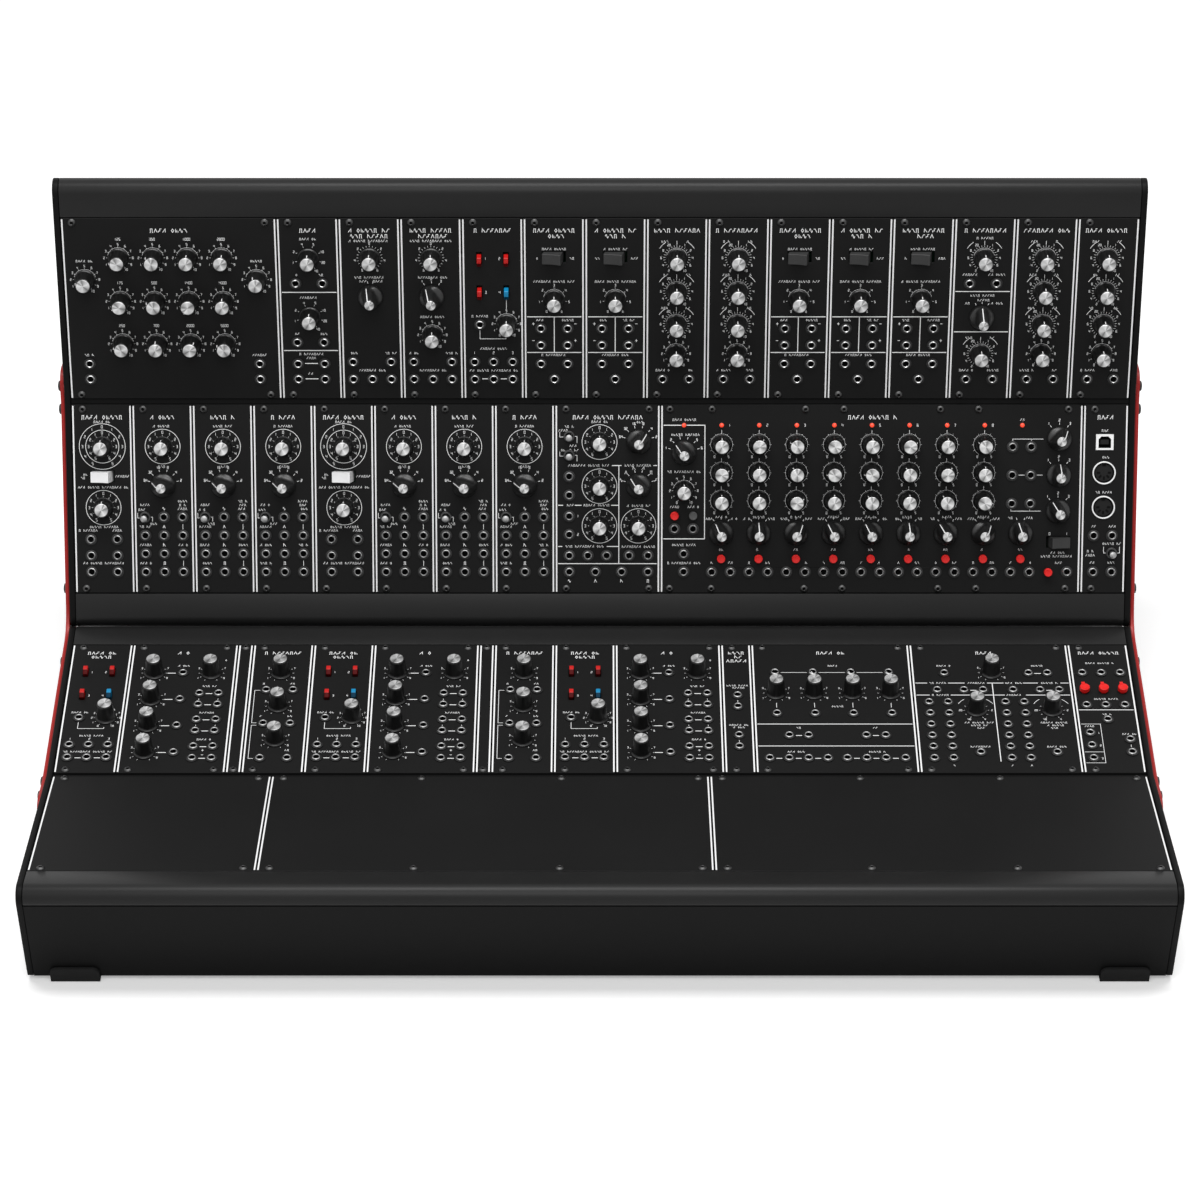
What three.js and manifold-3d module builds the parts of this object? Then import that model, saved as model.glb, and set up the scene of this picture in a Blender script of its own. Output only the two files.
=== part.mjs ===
// A modular synthesizer: two flat cases of plug-in modules, the second standing up behind the first,
// held together at each side by a red link plate. Millimetres, X to the right, Y to the back, Z up.
import * as THREE from "three";
import { mergeVertices } from "three/addons/utils/BufferGeometryUtils.js";
import Module from "manifold-3d";

const wasm = await Module();
wasm.setup();

const degree = Math.PI / 180;
const quarterTurn = Math.PI / 2;
const mergeDistance = 1e-4;

// Rack sizes
const hp = 5.08; // one unit of module width
const rowUnits = 140;
const rowWidth = rowUnits * hp;
const panelHeight = 128.5;
const panelThickness = 2;
const panelSeam = 0.5; // groove between two neighbouring faceplates
const panelSeamDepth = 1.2;

// Each module's share of its row, in whole units
const moduleUnitShares = {
  filterBank: 28,
  twinFilter: 8,
  highPass: 8,
  lowPass: 8,
  controlVoltages: 8,
  amplifier: 8,
  envelope: 8,
  triggerDelay: 8,
  oscillatorDriver: 8,
  oscillator: 8,
  wideOscillator: 14,
  sequencer: 56,
  midiInterface: 6,
  mixer: 14,
  narrowBlank: 2,
  attenuators: 8,
  noise: 4,
  wideAttenuators: 21,
  interface: 21,
  sequentialSwitch: 8,
  shortBlank: 28,
  longBlank: 56,
};

// Case profile, seen from the side. The two rows of a case meet in a shallow valley.
const rowTilt = 7.6 * degree;
const rowGap = 4.1;
const valleyHeight = 59.5;
const lipFlat = 16.25; // flat of the fascia beyond the faceplates
const bendRadius = 8.4;
const undercut = 14.27 * degree; // how far the front and rear walls lean in towards the base
const fasciaWall = 2;
const panWall = 1.5;
const tongueLength = 9; // part of the fascia that reaches down behind the wall
const edgeGap = 0.6;
const touchGap = 0.3; // clearance between pieces that seat on each other
const railReach = 8;
const railDepth = 10;
const ridgeDepth = 1.2;
const cheekWall = 4;
const curveSteps = 5;

// How the second case stands on the first
const stackTilt = 75.7 * degree;
const stackGap = 0.73; // between the round bends of the two cases
const stackRise = 40.14 * degree; // how steeply the standing case's bend lies behind the flat one's

// Link plates and their screws
const linkWall = 2.6;
const linkGap = 0.6;
const linkInset = 5;
const linkReach = 27; // along the lower case's front row
const linkStackReach = 17; // along the upper case's back row
const linkArm = 42;
const linkTipRadius = 12;
const linkCornerRadius = 14;
const linkHeelRadius = 60;
const linkSteps = 4;
const screwRadius = 2;
const screwHeadRadius = 3.7;
const screwHeadHeight = 1.6;
const screwClearance = 0.4;
const screwSpread = 6.5; // centre screws, each side of the valley
const screwDepth = 12.1;
const screwEdge = 0.7; // end screw, in from the edge of the faceplate
const screwEdgeDepth = 14.5;
const screwSides = 8;

// Rubber feet
const footHeight = 3;
const footLength = 30;
const footWidth = 31;
const footWrap = 10;
const footWall = 2;
const footInset = 14.7;

// Power board and its inlet in the rear wall
const powerBoard = { width: 300, depth: 90, wall: 1.6, lift: 8, back: 60 };
const busStrip = { width: 280, depth: 9, height: 9, spacing: 26 };
const standoff = { size: 6, inset: 8 };
const inlet = { width: 11, height: 11, right: 120, bore: 2.8, boreDepth: 9, overrun: 20 };
const supplyBlock = { width: 60, depth: 40, height: 20 };

// Circuit board of a module and the spacers that carry it
const boardLift = 14;
const boardWall = 1.6;
const boardMargin = 12;
const spacerWall = 2;
const boardSideGap = 1.5;

// Controls
const rooted = 0.6; // how far a fixed control reaches into its faceplate
const shaftRadius = 3;
const shaftClearance = 0.4;
const shaftSides = 8;
const knob = { skirt: 6.9, skirtHeight: 1.3, barrel: 6.2, barrelFoot: 1.9, cap: 5, height: 13.3 };
const knobSides = 10;
const fixedKnobSides = 8;
const selector = { base: 8.3, baseTop: 7.8, baseHeight: 3.4, height: 17.4 };
const selectorRidge = { length: 15.4, topLength: 7.6, width: 8 };
const selectorSides = 10;
const jack = { nut: 4.1, height: 1.7, sides: 6 };
const rocker = { width: 12.4, depth: 7.2, above: 6, below: 3, pivot: 3, opening: 15.5, side: 0.35 };
const rockerTilt = 12 * degree;
const lever = { width: 2.9, length: 7.2, ridge: 4.6, neck: 1.2, neckLength: 6, foot: -2, pivot: 2 };
const leverTilt = 16 * degree;
const leverSlot = { width: 3.6, length: 8.8 };
const toggle = { foot: 1.4, head: 2.8, height: 9.5, bore: 2.6, ball: 2, ballDepth: 1.8, sides: 8 };
const toggleNut = { radius: 3.8, height: 1.4 };
const button = { radius: 2.95, height: 4.2, travel: 1, sides: 8, stem: 2 };
const lamp = { radius: 1.65, height: 1.6, sides: 6 };
const usbSocket = { width: 12.4, height: 11.2, wall: 1.4, tongueWidth: 5.6, tongueHeight: 3.2, depth: 9 };
const dinSocket = { outer: 8.6, ring: 6.8, plug: 5.6, depth: 5, above: 1, sides: 12 };

const black = 0x1f1f20;
const darkGrey = 0x2b2b2c;
const red = 0xb43228;
const signalRed = 0xe02a26;
const signalBlue = 0x16a6c8;
const white = 0xe8e8e6;
const rubber = 0x141414;
const steel = 0xb9b9b4;
const boardGreen = 0x1d4a33;
const paint = (color, roughness, metalness) =>
  new THREE.MeshStandardMaterial({ color, roughness, metalness });
const finish = {
  sheet: paint(black, 0.55, 0.3),
  fascia: paint(darkGrey, 0.5, 0.35),
  panel: paint(black, 0.6, 0.2),
  link: paint(red, 0.45, 0.2),
  rail: paint(steel, 0.35, 0.9),
  rubber: paint(rubber, 0.85, 0),
  board: paint(boardGreen, 0.6, 0),
  knob: paint(rubber, 0.5, 0),
  red: paint(signalRed, 0.4, 0),
  blue: paint(signalBlue, 0.4, 0),
  white: paint(white, 0.4, 0),
  chrome: paint(steel, 0.25, 0.9),
};

// A closed geometry as a solid that can be joined and cut
function solidOf(geometry) {
  const bare = new THREE.BufferGeometry();
  bare.setAttribute("position", geometry.getAttribute("position"));
  if (geometry.index) bare.setIndex(geometry.index);
  const merged = mergeVertices(bare, mergeDistance);
  const mesh = new wasm.Mesh({
    numProp: 3,
    vertProperties: merged.attributes.position.array,
    triVerts: new Uint32Array(merged.index.array),
  });
  return new wasm.Manifold(mesh);
}

function geometryOf(solid) {
  const { vertProperties, triVerts } = solid.getMesh();
  const indexed = new THREE.BufferGeometry();
  indexed.setAttribute("position", new THREE.BufferAttribute(vertProperties, 3));
  indexed.setIndex(new THREE.BufferAttribute(triVerts, 1));
  const geometry = indexed.toNonIndexed();
  geometry.computeVertexNormals();
  return geometry;
}

function mesh(name, geometry, material) {
  const made = new THREE.Mesh(geometry, material);
  made.name = name;
  return made;
}

const joined = (solids) => solids.reduce((whole, next) => whole.add(next));
const cutBy = (solid, tools) => tools.reduce((left, tool) => left.subtract(tool), solid);

// A side-view shape of Y and Z, drawn out along X from one place to another
function alongX(shape, from, to) {
  const options = { depth: to - from, bevelEnabled: false, curveSegments: curveSteps };
  const geometry = new THREE.ExtrudeGeometry(shape, options);
  const turn = new THREE.Matrix4().makeBasis(
    new THREE.Vector3(0, 1, 0),
    new THREE.Vector3(0, 0, 1),
    new THREE.Vector3(1, 0, 0),
  );
  return geometry.applyMatrix4(turn).translate(from, 0, 0);
}

const polygon = (points) => new THREE.Shape(points.map(([a, b]) => new THREE.Vector2(a, b)));

// An outline with a radius at each of its corners
function roundedShape(corners, steps) {
  const shape = new THREE.Shape();
  corners.forEach(({ at, radius }, i) => {
    const before = corners[(i + corners.length - 1) % corners.length].at;
    const after = corners[(i + 1) % corners.length].at;
    const here = new THREE.Vector2(...at);
    const towards = (other) => new THREE.Vector2(...other).sub(here).setLength(radius).add(here);
    const start = towards(before);
    const end = towards(after);
    if (i) shape.lineTo(start.x, start.y);
    else shape.moveTo(start.x, start.y);
    shape.quadraticCurveTo(here.x, here.y, end.x, end.y);
  });
  return shape.getPoints(steps);
}

function box(width, depth, height, x, y, z) {
  return new THREE.BoxGeometry(width, depth, height).translate(x, y, z);
}

// An upright column, round or tapered, between two heights
function column(sides, footRadius, topRadius, from, to) {
  const geometry = new THREE.CylinderGeometry(topRadius, footRadius, to - from, sides);
  return geometry.rotateX(quarterTurn).translate(0, 0, (from + to) / 2);
}

// A turned shape from rings of radius and height, closed on its axis
function turned(sides, rings) {
  const profile = [[0, rings[0][1]], ...rings, [0, rings[rings.length - 1][1]]];
  const points = profile.map(([radius, height]) => new THREE.Vector2(radius, height));
  return new THREE.LatheGeometry(points, sides).rotateX(quarterTurn);
}

// Case profile. Side is -1 at the front and 1 at the back, and distances run from the middle of the case.
const rowCos = Math.cos(rowTilt);
const rowSin = Math.sin(rowTilt);

// A point a given way along a row from its inner edge, and a depth below its surface
function rowPoint(side, along, depth) {
  const across = rowGap / 2 + along * rowCos + depth * rowSin;
  return [side * across, valleyHeight + along * rowSin - depth * rowCos];
}

const bendCentre = rowPoint(1, panelHeight + lipFlat, bendRadius);
const bendEnd = [
  bendCentre[0] + bendRadius * Math.cos(undercut),
  bendCentre[1] - bendRadius * Math.sin(undercut),
];
const wallLength = bendEnd[1] / Math.cos(undercut);
const baseHalf = bendEnd[0] - wallLength * Math.sin(undercut);

// A point a given way up the front or rear wall from the base, offset outwards
function wallPoint(side, up, out) {
  return [
    side * (baseHalf + up * Math.sin(undercut) + out * Math.cos(undercut)),
    up * Math.cos(undercut) - out * Math.sin(undercut),
  ];
}

// The round bend between a row's lip and its wall, at a given radius
function bend(shape, side, radius, downwards) {
  const lipAngle = quarterTurn + rowTilt;
  const wallAngle = -undercut;
  const face = (angle) => (side > 0 ? angle : Math.PI - angle);
  const [from, to] = downwards ? [lipAngle, wallAngle] : [wallAngle, lipAngle];
  shape.absarc(side * bendCentre[0], bendCentre[1], radius, face(from), face(to), downwards === side > 0);
}

function fasciaShape(side) {
  const shape = new THREE.Shape();
  const go = ([a, b]) => shape.lineTo(a, b);
  const start = panelHeight + edgeGap;
  shape.moveTo(...rowPoint(side, start, 0));
  bend(shape, side, bendRadius, true);
  go(wallPoint(side, wallLength, -panWall - touchGap));
  go(wallPoint(side, wallLength - tongueLength, -panWall - touchGap));
  go(wallPoint(side, wallLength - tongueLength, -panWall - touchGap - fasciaWall));
  go(wallPoint(side, wallLength, -panWall - touchGap - fasciaWall));
  bend(shape, side, bendRadius - panWall - touchGap - fasciaWall, false);
  go(rowPoint(side, start + fasciaWall, panWall + touchGap + fasciaWall));
  go(rowPoint(side, start + fasciaWall, railDepth));
  go(rowPoint(side, panelHeight - railReach, railDepth));
  go(rowPoint(side, panelHeight - railReach, panelThickness + touchGap));
  go(rowPoint(side, start, panelThickness + touchGap));
  return shape;
}

function centreRailShape() {
  const ridge = rowGap / 2 - edgeGap;
  const half = (side) => [
    [side * ridge, valleyHeight - ridgeDepth],
    [side * ridge, rowPoint(1, -edgeGap, panelThickness + touchGap)[1]],
    rowPoint(side, railReach, panelThickness + touchGap),
    rowPoint(side, railReach, railDepth),
  ];
  return polygon([...half(1), ...half(-1).reverse()]);
}

function panShape() {
  const top = wallLength - edgeGap;
  return polygon([
    wallPoint(-1, top, 0),
    [-baseHalf, 0],
    [baseHalf, 0],
    wallPoint(1, top, 0),
    wallPoint(1, top, -panWall),
    [baseHalf - panWall, panWall],
    [panWall - baseHalf, panWall],
    wallPoint(-1, top, -panWall),
  ]);
}

function cheekShape() {
  const shape = new THREE.Shape();
  shape.moveTo(-baseHalf, 0);
  shape.lineTo(baseHalf, 0);
  bend(shape, 1, bendRadius, false);
  shape.lineTo(0, valleyHeight - (rowGap / 2) * Math.tan(rowTilt));
  bend(shape, -1, bendRadius, true);
  return shape;
}

function footShape(side) {
  const toe = (out, height) => side * (baseHalf + (out - height * Math.sin(undercut)) / Math.cos(undercut));
  const heel = side * (baseHalf - footLength);
  return polygon([
    [heel, -touchGap],
    [toe(touchGap, touchGap), -touchGap],
    wallPoint(side, footWrap, touchGap),
    wallPoint(side, footWrap, touchGap + footWall),
    [toe(touchGap + footWall, footHeight), -footHeight],
    [heel, -footHeight],
  ]);
}

// Control places, as shares of a module's width and of the faceplate's height
const middleShares = [0.5];
const pairShares = [0.281, 0.719];
const tripleShares = [0.1875, 0.5, 0.8125];
const outerShares = [0.1875, 0.8125];
const spotsAt = (acrossShares, upShares) =>
  upShares.flatMap((up) => acrossShares.map((across) => [across, up]));

// The sequencer's eight steps, and the column after them that ends the run
const stepPlaces = [0, 1, 2, 3, 4, 5, 6, 7];
const stepStartShare = 0.145;
const stepPitchShare = 0.0889;
const stepJackShare = 0.0223;
const stepShares = stepPlaces.map((step) => stepStartShare + step * stepPitchShare);
const stageShares = [...stepShares, stepStartShare + stepPlaces.length * stepPitchShare];

const moduleShares = {
  filterBank: {
    knobs: [...spotsAt([0.261, 0.421, 0.581, 0.741], [0.784, 0.545, 0.309]), ...spotsAt([0.1, 0.9], [0.665])],
    jacks: spotsAt([0.1, 0.9], [0.199, 0.113]),
  },
  twinFilter: {
    knobs: spotsAt(middleShares, [0.782, 0.46]),
    jacks: spotsAt(pairShares, [0.645, 0.319, 0.199, 0.113]),
  },
  highPass: {
    knobs: spotsAt(middleShares, [0.784]),
    selectors: spotsAt(middleShares, [0.572]),
    jacks: [...spotsAt(outerShares, [0.21]), ...spotsAt(tripleShares, [0.113])],
  },
  lowPass: {
    knobs: spotsAt(middleShares, [0.784, 0.359]),
    selectors: spotsAt(middleShares, [0.572]),
    jacks: [...spotsAt(outerShares, [0.21]), ...spotsAt(tripleShares, [0.113])],
  },
  controlVoltages: {
    knobs: [[0.719, 0.421]],
    levers: spotsAt(pairShares, [0.78, 0.597]),
    jacks: [[0.281, 0.418], ...spotsAt(tripleShares, [0.21, 0.113])],
  },
  amplifier: {
    knobs: spotsAt(middleShares, [0.556]),
    rockers: spotsAt(middleShares, [0.788]),
    jacks: [...spotsAt(pairShares, [0.396, 0.303, 0.199]), ...spotsAt(middleShares, [0.113])],
  },
  envelope: {
    knobs: spotsAt(middleShares, [0.784, 0.6, 0.419, 0.254]),
    jacks: spotsAt(pairShares, [0.113]),
  },
  triggerDelay: {
    knobs: spotsAt(middleShares, [0.784, 0.254]),
    selectors: spotsAt(middleShares, [0.458]),
    jacks: spotsAt(pairShares, [0.645, 0.113]),
  },
  oscillatorDriver: {
    knobs: spotsAt(middleShares, [0.779, 0.455]),
    rockers: spotsAt(middleShares, [0.62]),
    jacks: spotsAt(pairShares, [0.287, 0.2, 0.113]),
  },
  oscillator: {
    knobs: spotsAt(middleShares, [0.779]),
    selectors: spotsAt(middleShares, [0.575]),
    toggles: [[0.1875, 0.405]],
    jacks: [...spotsAt([0.5, 0.8125], [0.405]), ...spotsAt(tripleShares, [0.307, 0.21, 0.113])],
  },
  wideOscillator: {
    knobs: [...spotsAt([0.424], [0.803, 0.569, 0.358]), [0.794, 0.358]],
    selectors: spotsAt([0.794], [0.806, 0.571]),
    toggles: spotsAt([0.136], [0.833, 0.733]),
    jacks: [
      ...spotsAt([0.136], [0.621, 0.521, 0.41, 0.312]),
      ...spotsAt([0.136, 0.313, 0.491, 0.705, 0.884], [0.2]),
      ...spotsAt([0.136, 0.384, 0.634, 0.884], [0.113]),
    ],
  },
  sequencer: {
    knobs: [[0.056, 0.545], ...spotsAt(stepShares, [0.789, 0.64, 0.491])],
    selectors: [[0.056, 0.747], ...spotsAt(stageShares, [0.32]), ...spotsAt([0.944], [0.822, 0.629, 0.436])],
    rockers: [[0.946, 0.271]],
    buttons: [...spotsAt([0.034, 0.078], [0.414]), ...spotsAt(stageShares, [0.185]), [0.923, 0.113]],
    lamps: spotsAt([0.056, ...stageShares], [0.892]),
    jacks: [
      ...spotsAt([0.034, 0.078], [0.342]),
      ...spotsAt([0.056], [0.209, 0.113]),
      ...stageShares.flatMap((across) => spotsAt([across - stepJackShare, across + stepJackShare], [0.112])),
      ...spotsAt([0.834, 0.878], [0.778, 0.628, 0.477]),
      [0.968, 0.113],
    ],
  },
  midiInterface: {
    toggles: [[0.69, 0.213]],
    jacks: spotsAt([0.281, 0.69], [0.307, 0.113]),
    usbSockets: [[0.485, 0.803]],
    dinSockets: spotsAt([0.485], [0.64, 0.457]),
  },
  mixer: {
    knobs: [...spotsAt([0.236], [0.772, 0.564, 0.359, 0.153]), [0.772, 0.772]],
    jacks: [
      ...spotsAt([0.505], [0.772, 0.564, 0.359, 0.153]),
      ...spotsAt([0.681, 0.86], [0.61, 0.522, 0.405, 0.318, 0.198, 0.109]),
    ],
  },
  attenuators: {
    knobs: spotsAt(middleShares, [0.772, 0.511, 0.247]),
    jacks: spotsAt(pairShares, [0.636, 0.374, 0.109]),
  },
  noise: { jacks: spotsAt(middleShares, [0.595, 0.507, 0.285, 0.198]) },
  wideAttenuators: {
    knobs: spotsAt([0.145, 0.382, 0.62, 0.858], [0.614]),
    jacks: [
      ...spotsAt([0.145, 0.382, 0.62, 0.858], [0.776, 0.453]),
      ...spotsAt([0.214, 0.333, 0.689, 0.808], [0.283]),
      ...spotsAt([0.087, 0.206, 0.325, 0.443, 0.562, 0.681, 0.799, 0.918], [0.109]),
    ],
  },
  interface: {
    knobs: [[0.501, 0.776], ...spotsAt([0.383, 0.852], [0.479])],
    jacks: [
      ...spotsAt([0.206, 0.734, 0.852], [0.77]),
      ...spotsAt([0.152, 0.319, 0.438, 0.625, 0.794, 0.913], [0.636]),
      ...spotsAt([0.095, 0.213, 0.569, 0.686], [0.541, 0.454, 0.367, 0.281, 0.196, 0.109]),
      ...spotsAt([0.383, 0.852], [0.153]),
    ],
  },
  sequentialSwitch: {
    buttons: spotsAt(tripleShares, [0.6]),
    jacks: [
      ...spotsAt(tripleShares, [0.772, 0.518]),
      ...spotsAt(middleShares, [0.405]),
      ...spotsAt([0.183], [0.303, 0.207, 0.109]),
      ...spotsAt([0.817], [0.252, 0.155]),
    ],
  },
};

// Module groups of each row, from the left. A group's faceplates are joined in one piece. Its moving
// controls are pieces of their own, and each is named by its module, its kind and its place in that list.
const rows = [
  {
    case: "upper",
    side: 1,
    groups: [
      { name: "filter_bank_module", modules: ["filterBank"], moving: [] },
      {
        name: "filter_modules",
        modules: ["twinFilter", "highPass", "lowPass", "controlVoltages"],
        moving: [
          { name: "low_pass_cutoff_knob", module: 2, kind: "knobs", place: 0 },
          { name: "low_pass_range_selector", module: 2, kind: "selectors", place: 0, turn: 30 },
          { name: "red_voltage_lever", module: 3, kind: "levers", place: 0, color: "red" },
          { name: "blue_voltage_lever", module: 3, kind: "levers", place: 3, color: "blue" },
        ],
      },
      {
        name: "left_amplifier_modules",
        modules: ["amplifier", "amplifier", "envelope", "envelope"],
        moving: [
          { name: "amplifier_mode_rocker", module: 0, kind: "rockers", place: 0, lean: -1 },
          { name: "amplifier_level_knob", module: 0, kind: "knobs", place: 0 },
          { name: "envelope_attack_knob", module: 2, kind: "knobs", place: 0 },
          { name: "envelope_decay_knob", module: 2, kind: "knobs", place: 1 },
          { name: "envelope_sustain_knob", module: 2, kind: "knobs", place: 2 },
          { name: "envelope_release_knob", module: 2, kind: "knobs", place: 3 },
        ],
      },
      {
        name: "right_amplifier_modules",
        modules: ["amplifier", "amplifier", "amplifier", "triggerDelay", "envelope", "envelope"],
        moving: [],
      },
    ],
  },
  {
    case: "upper",
    side: -1,
    groups: [
      {
        name: "left_oscillator_modules",
        modules: ["oscillatorDriver", "oscillator", "oscillator", "oscillator"],
        moving: [
          { name: "driver_frequency_knob", module: 0, kind: "knobs", place: 0 },
          { name: "driver_step_rocker", module: 0, kind: "rockers", place: 0, lean: -1, color: "white" },
          { name: "oscillator_frequency_knob", module: 1, kind: "knobs", place: 0 },
          { name: "oscillator_range_selector", module: 1, kind: "selectors", place: 0, turn: 75 },
          { name: "oscillator_sync_toggle", module: 1, kind: "toggles", place: 0 },
        ],
      },
      {
        name: "right_oscillator_modules",
        modules: ["oscillatorDriver", "oscillator", "oscillator", "oscillator"],
        moving: [],
      },
      { name: "wide_oscillator_module", modules: ["wideOscillator"], moving: [] },
      {
        name: "sequencer_module",
        modules: ["sequencer"],
        moving: [
          { name: "sequencer_level_knob", module: 0, kind: "knobs", place: 1 },
          { name: "sequencer_stage_selector", module: 0, kind: "selectors", place: 1, turn: 30 },
          { name: "sequencer_set_button", module: 0, kind: "buttons", place: 2, color: "red" },
          { name: "sequencer_start_button", module: 0, kind: "buttons", place: 0, color: "red" },
          { name: "sequencer_timing_rocker", module: 0, kind: "rockers", place: 0, lean: 1 },
        ],
      },
      {
        name: "midi_module",
        modules: ["midiInterface"],
        moving: [{ name: "midi_mode_toggle", module: 0, kind: "toggles", place: 0 }],
      },
    ],
  },
  {
    case: "lower",
    side: 1,
    groups: [
      {
        name: "left_mixer_modules",
        modules: ["controlVoltages", "mixer", "narrowBlank", "attenuators"],
        moving: [{ name: "mixer_level_knob", module: 1, kind: "knobs", place: 0 }],
      },
      {
        name: "centre_mixer_modules",
        modules: ["controlVoltages", "mixer", "narrowBlank", "attenuators"],
        moving: [],
      },
      { name: "right_mixer_modules", modules: ["controlVoltages", "mixer", "noise"], moving: [] },
      { name: "attenuator_module", modules: ["wideAttenuators"], moving: [] },
      { name: "interface_module", modules: ["interface"], moving: [] },
      { name: "sequential_switch_module", modules: ["sequentialSwitch"], moving: [] },
    ],
  },
  {
    case: "lower",
    side: -1,
    groups: [
      { name: "left_blank_panel", modules: ["shortBlank"], moving: [] },
      { name: "middle_blank_panel", modules: ["longBlank"], moving: [] },
      { name: "right_blank_panel", modules: ["longBlank"], moving: [] },
    ],
  },
];

// Fixed controls of a faceplate. Each stands on the surface at height zero and is rooted in the plate.
const fixedShapes = {
  knobs: () => column(fixedKnobSides, knob.skirt, knob.cap, -rooted, knob.height),
  selectors: () => selectorParts(-rooted),
  rockers: () => rockerBody(-rooted).rotateY(-rockerTilt),
  levers: () => leverBody().translate(0, 0, -lever.pivot),
  toggles: () => column(toggle.sides, toggle.foot, toggle.head, -rooted, toggle.height),
  buttons: () => column(button.sides, button.radius, button.radius, -rooted, button.height),
  lamps: () => column(lamp.sides, lamp.radius, lamp.radius, -rooted, lamp.height),
  jacks: () => column(jack.sides, jack.nut, jack.nut, -rooted, jack.height),
};

// A selector's round base with the ridge that tapers up from it, as one closed shape
function selectorParts(from) {
  const base = solidOf(column(selectorSides, selector.base, selector.baseTop, from, selector.baseHeight));
  const foot = selector.baseHeight - rooted;
  const ridge = polygon([
    [-selectorRidge.length / 2, foot],
    [selectorRidge.length / 2, foot],
    [selectorRidge.topLength / 2, selector.height],
    [-selectorRidge.topLength / 2, selector.height],
  ]);
  const half = selectorRidge.width / 2;
  return geometryOf(base.add(solidOf(alongX(ridge, -half, half))));
}

function rockerBody(from) {
  return box(rocker.width, rocker.depth, rocker.above - from, 0, 0, (rocker.above + from) / 2);
}

// A small lever about its pivot: two faces that fall away from a ridge, the upper one tipped level
function leverBody() {
  const { width, length, ridge, neck, neckLength, foot } = lever;
  const end = ridge - (length / 2) * Math.tan(leverTilt);
  const profile = polygon([
    [-neckLength / 2, foot],
    [neckLength / 2, foot],
    [neckLength / 2, neck],
    [length / 2, end],
    [0, ridge],
    [-length / 2, end],
    [-neckLength / 2, neck],
  ]);
  return alongX(profile, -width / 2, width / 2).rotateX(leverTilt);
}

// Openings that moving controls and sockets need in the faceplate
const through = panelThickness + 2 * rooted;
const shaftBore = shaftRadius + shaftClearance;
const stemBore = button.stem + shaftClearance;
const slot = (width, depth) => box(width, depth, through + rooted, 0, 0, (rooted - through) / 2);
const openings = {
  knobs: () => column(shaftSides, shaftBore, shaftBore, -through, rooted),
  selectors: () => column(shaftSides, shaftBore, shaftBore, -through, rooted),
  buttons: () => column(shaftSides, stemBore, stemBore, -through, rooted),
  toggles: () => column(toggle.sides, toggle.bore, toggle.bore, -through, toggleNut.height + rooted),
  rockers: () => slot(rocker.opening, rocker.depth + 2 * rocker.side),
  levers: () => slot(leverSlot.width, leverSlot.length),
};

// A square socket with a tongue, let into the faceplate
function usbParts() {
  const { width, height, wall, depth, tongueWidth, tongueHeight } = usbSocket;
  const innerHeight = height - 2 * wall;
  return {
    body: box(width, height, depth, 0, 0, rooted - depth / 2),
    bore: box(width - 2 * wall, innerHeight, depth, 0, 0, rooted + wall - depth / 2),
    core: box(tongueWidth, tongueHeight, depth, 0, 0, -depth / 2),
  };
}

// A round socket with a ring-shaped slot, let into the faceplate
function dinParts() {
  const { outer, ring, plug, depth, above, sides } = dinSocket;
  return {
    body: column(sides, outer, outer, -depth, above),
    bore: column(sides, ring, ring, rooted - depth, above + rooted),
    core: column(sides, plug, plug, -depth, 0),
  };
}

const socketParts = { usbSockets: usbParts, dinSockets: dinParts };

const shaft = (from, to) => solidOf(column(shaftSides, shaftRadius, shaftRadius, from, to));
const shaftFoot = touchGap - boardLift;

// Moving controls, each about its own pivot
const movingShapes = {
  knobs() {
    const rings = [
      [knob.skirt, touchGap],
      [knob.skirt, knob.skirtHeight],
      [knob.barrel, knob.barrelFoot],
      [knob.cap, knob.height],
    ];
    return geometryOf(solidOf(turned(knobSides, rings)).add(shaft(shaftFoot, knob.skirtHeight)));
  },
  selectors(spot) {
    const body = solidOf(selectorParts(touchGap)).add(shaft(shaftFoot, selector.baseHeight));
    return geometryOf(body).rotateZ((spot.turn ?? 0) * degree);
  },
  rockers(spot) {
    const body = rockerBody(-rocker.pivot - rocker.below).translate(0, 0, rocker.pivot);
    return body.rotateY(spot.lean * rockerTilt);
  },
  levers: leverBody,
  toggles() {
    const bat = solidOf(column(toggle.sides, toggle.foot, toggle.head, 0, toggle.height));
    const ball = solidOf(column(toggle.sides, toggle.ball, toggle.foot, -toggle.ballDepth, rooted));
    return geometryOf(bat.add(ball));
  },
  buttons() {
    const { radius, stem, travel, height, sides } = button;
    const cap = solidOf(column(sides, radius, radius, travel + touchGap, height));
    const shank = solidOf(column(shaftSides, stem, stem, shaftFoot + travel, height - rooted));
    return geometryOf(cap.add(shank));
  },
};
const pivotDepth = { rockers: rocker.pivot, levers: lever.pivot };
const plainFinish = {
  knobs: "knob",
  selectors: "knob",
  rockers: "knob",
  levers: "red",
  toggles: "chrome",
  buttons: "knob",
};

// The nut that holds a moving toggle
const nutShape = () => column(toggle.sides, toggleNut.radius, toggleNut.radius, -rooted, toggleNut.height);

// The circuit board behind one faceplate, on a spacer at each side
function boardShape(width) {
  const half = width / 2 - boardSideGap;
  return polygon([
    [-half, -panelThickness + rooted],
    [-half, -boardLift - boardWall],
    [half, -boardLift - boardWall],
    [half, -panelThickness + rooted],
    [half - spacerWall, -panelThickness + rooted],
    [half - spacerWall, -boardLift],
    [spacerWall - half, -boardLift],
    [spacerWall - half, -panelThickness + rooted],
  ]);
}

function boardOf(width) {
  const depth = panelHeight - 2 * boardMargin;
  return new THREE.ExtrudeGeometry(boardShape(width), { depth, bevelEnabled: false })
    .rotateX(quarterTurn)
    .translate(0, depth + boardMargin, 0);
}

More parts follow.
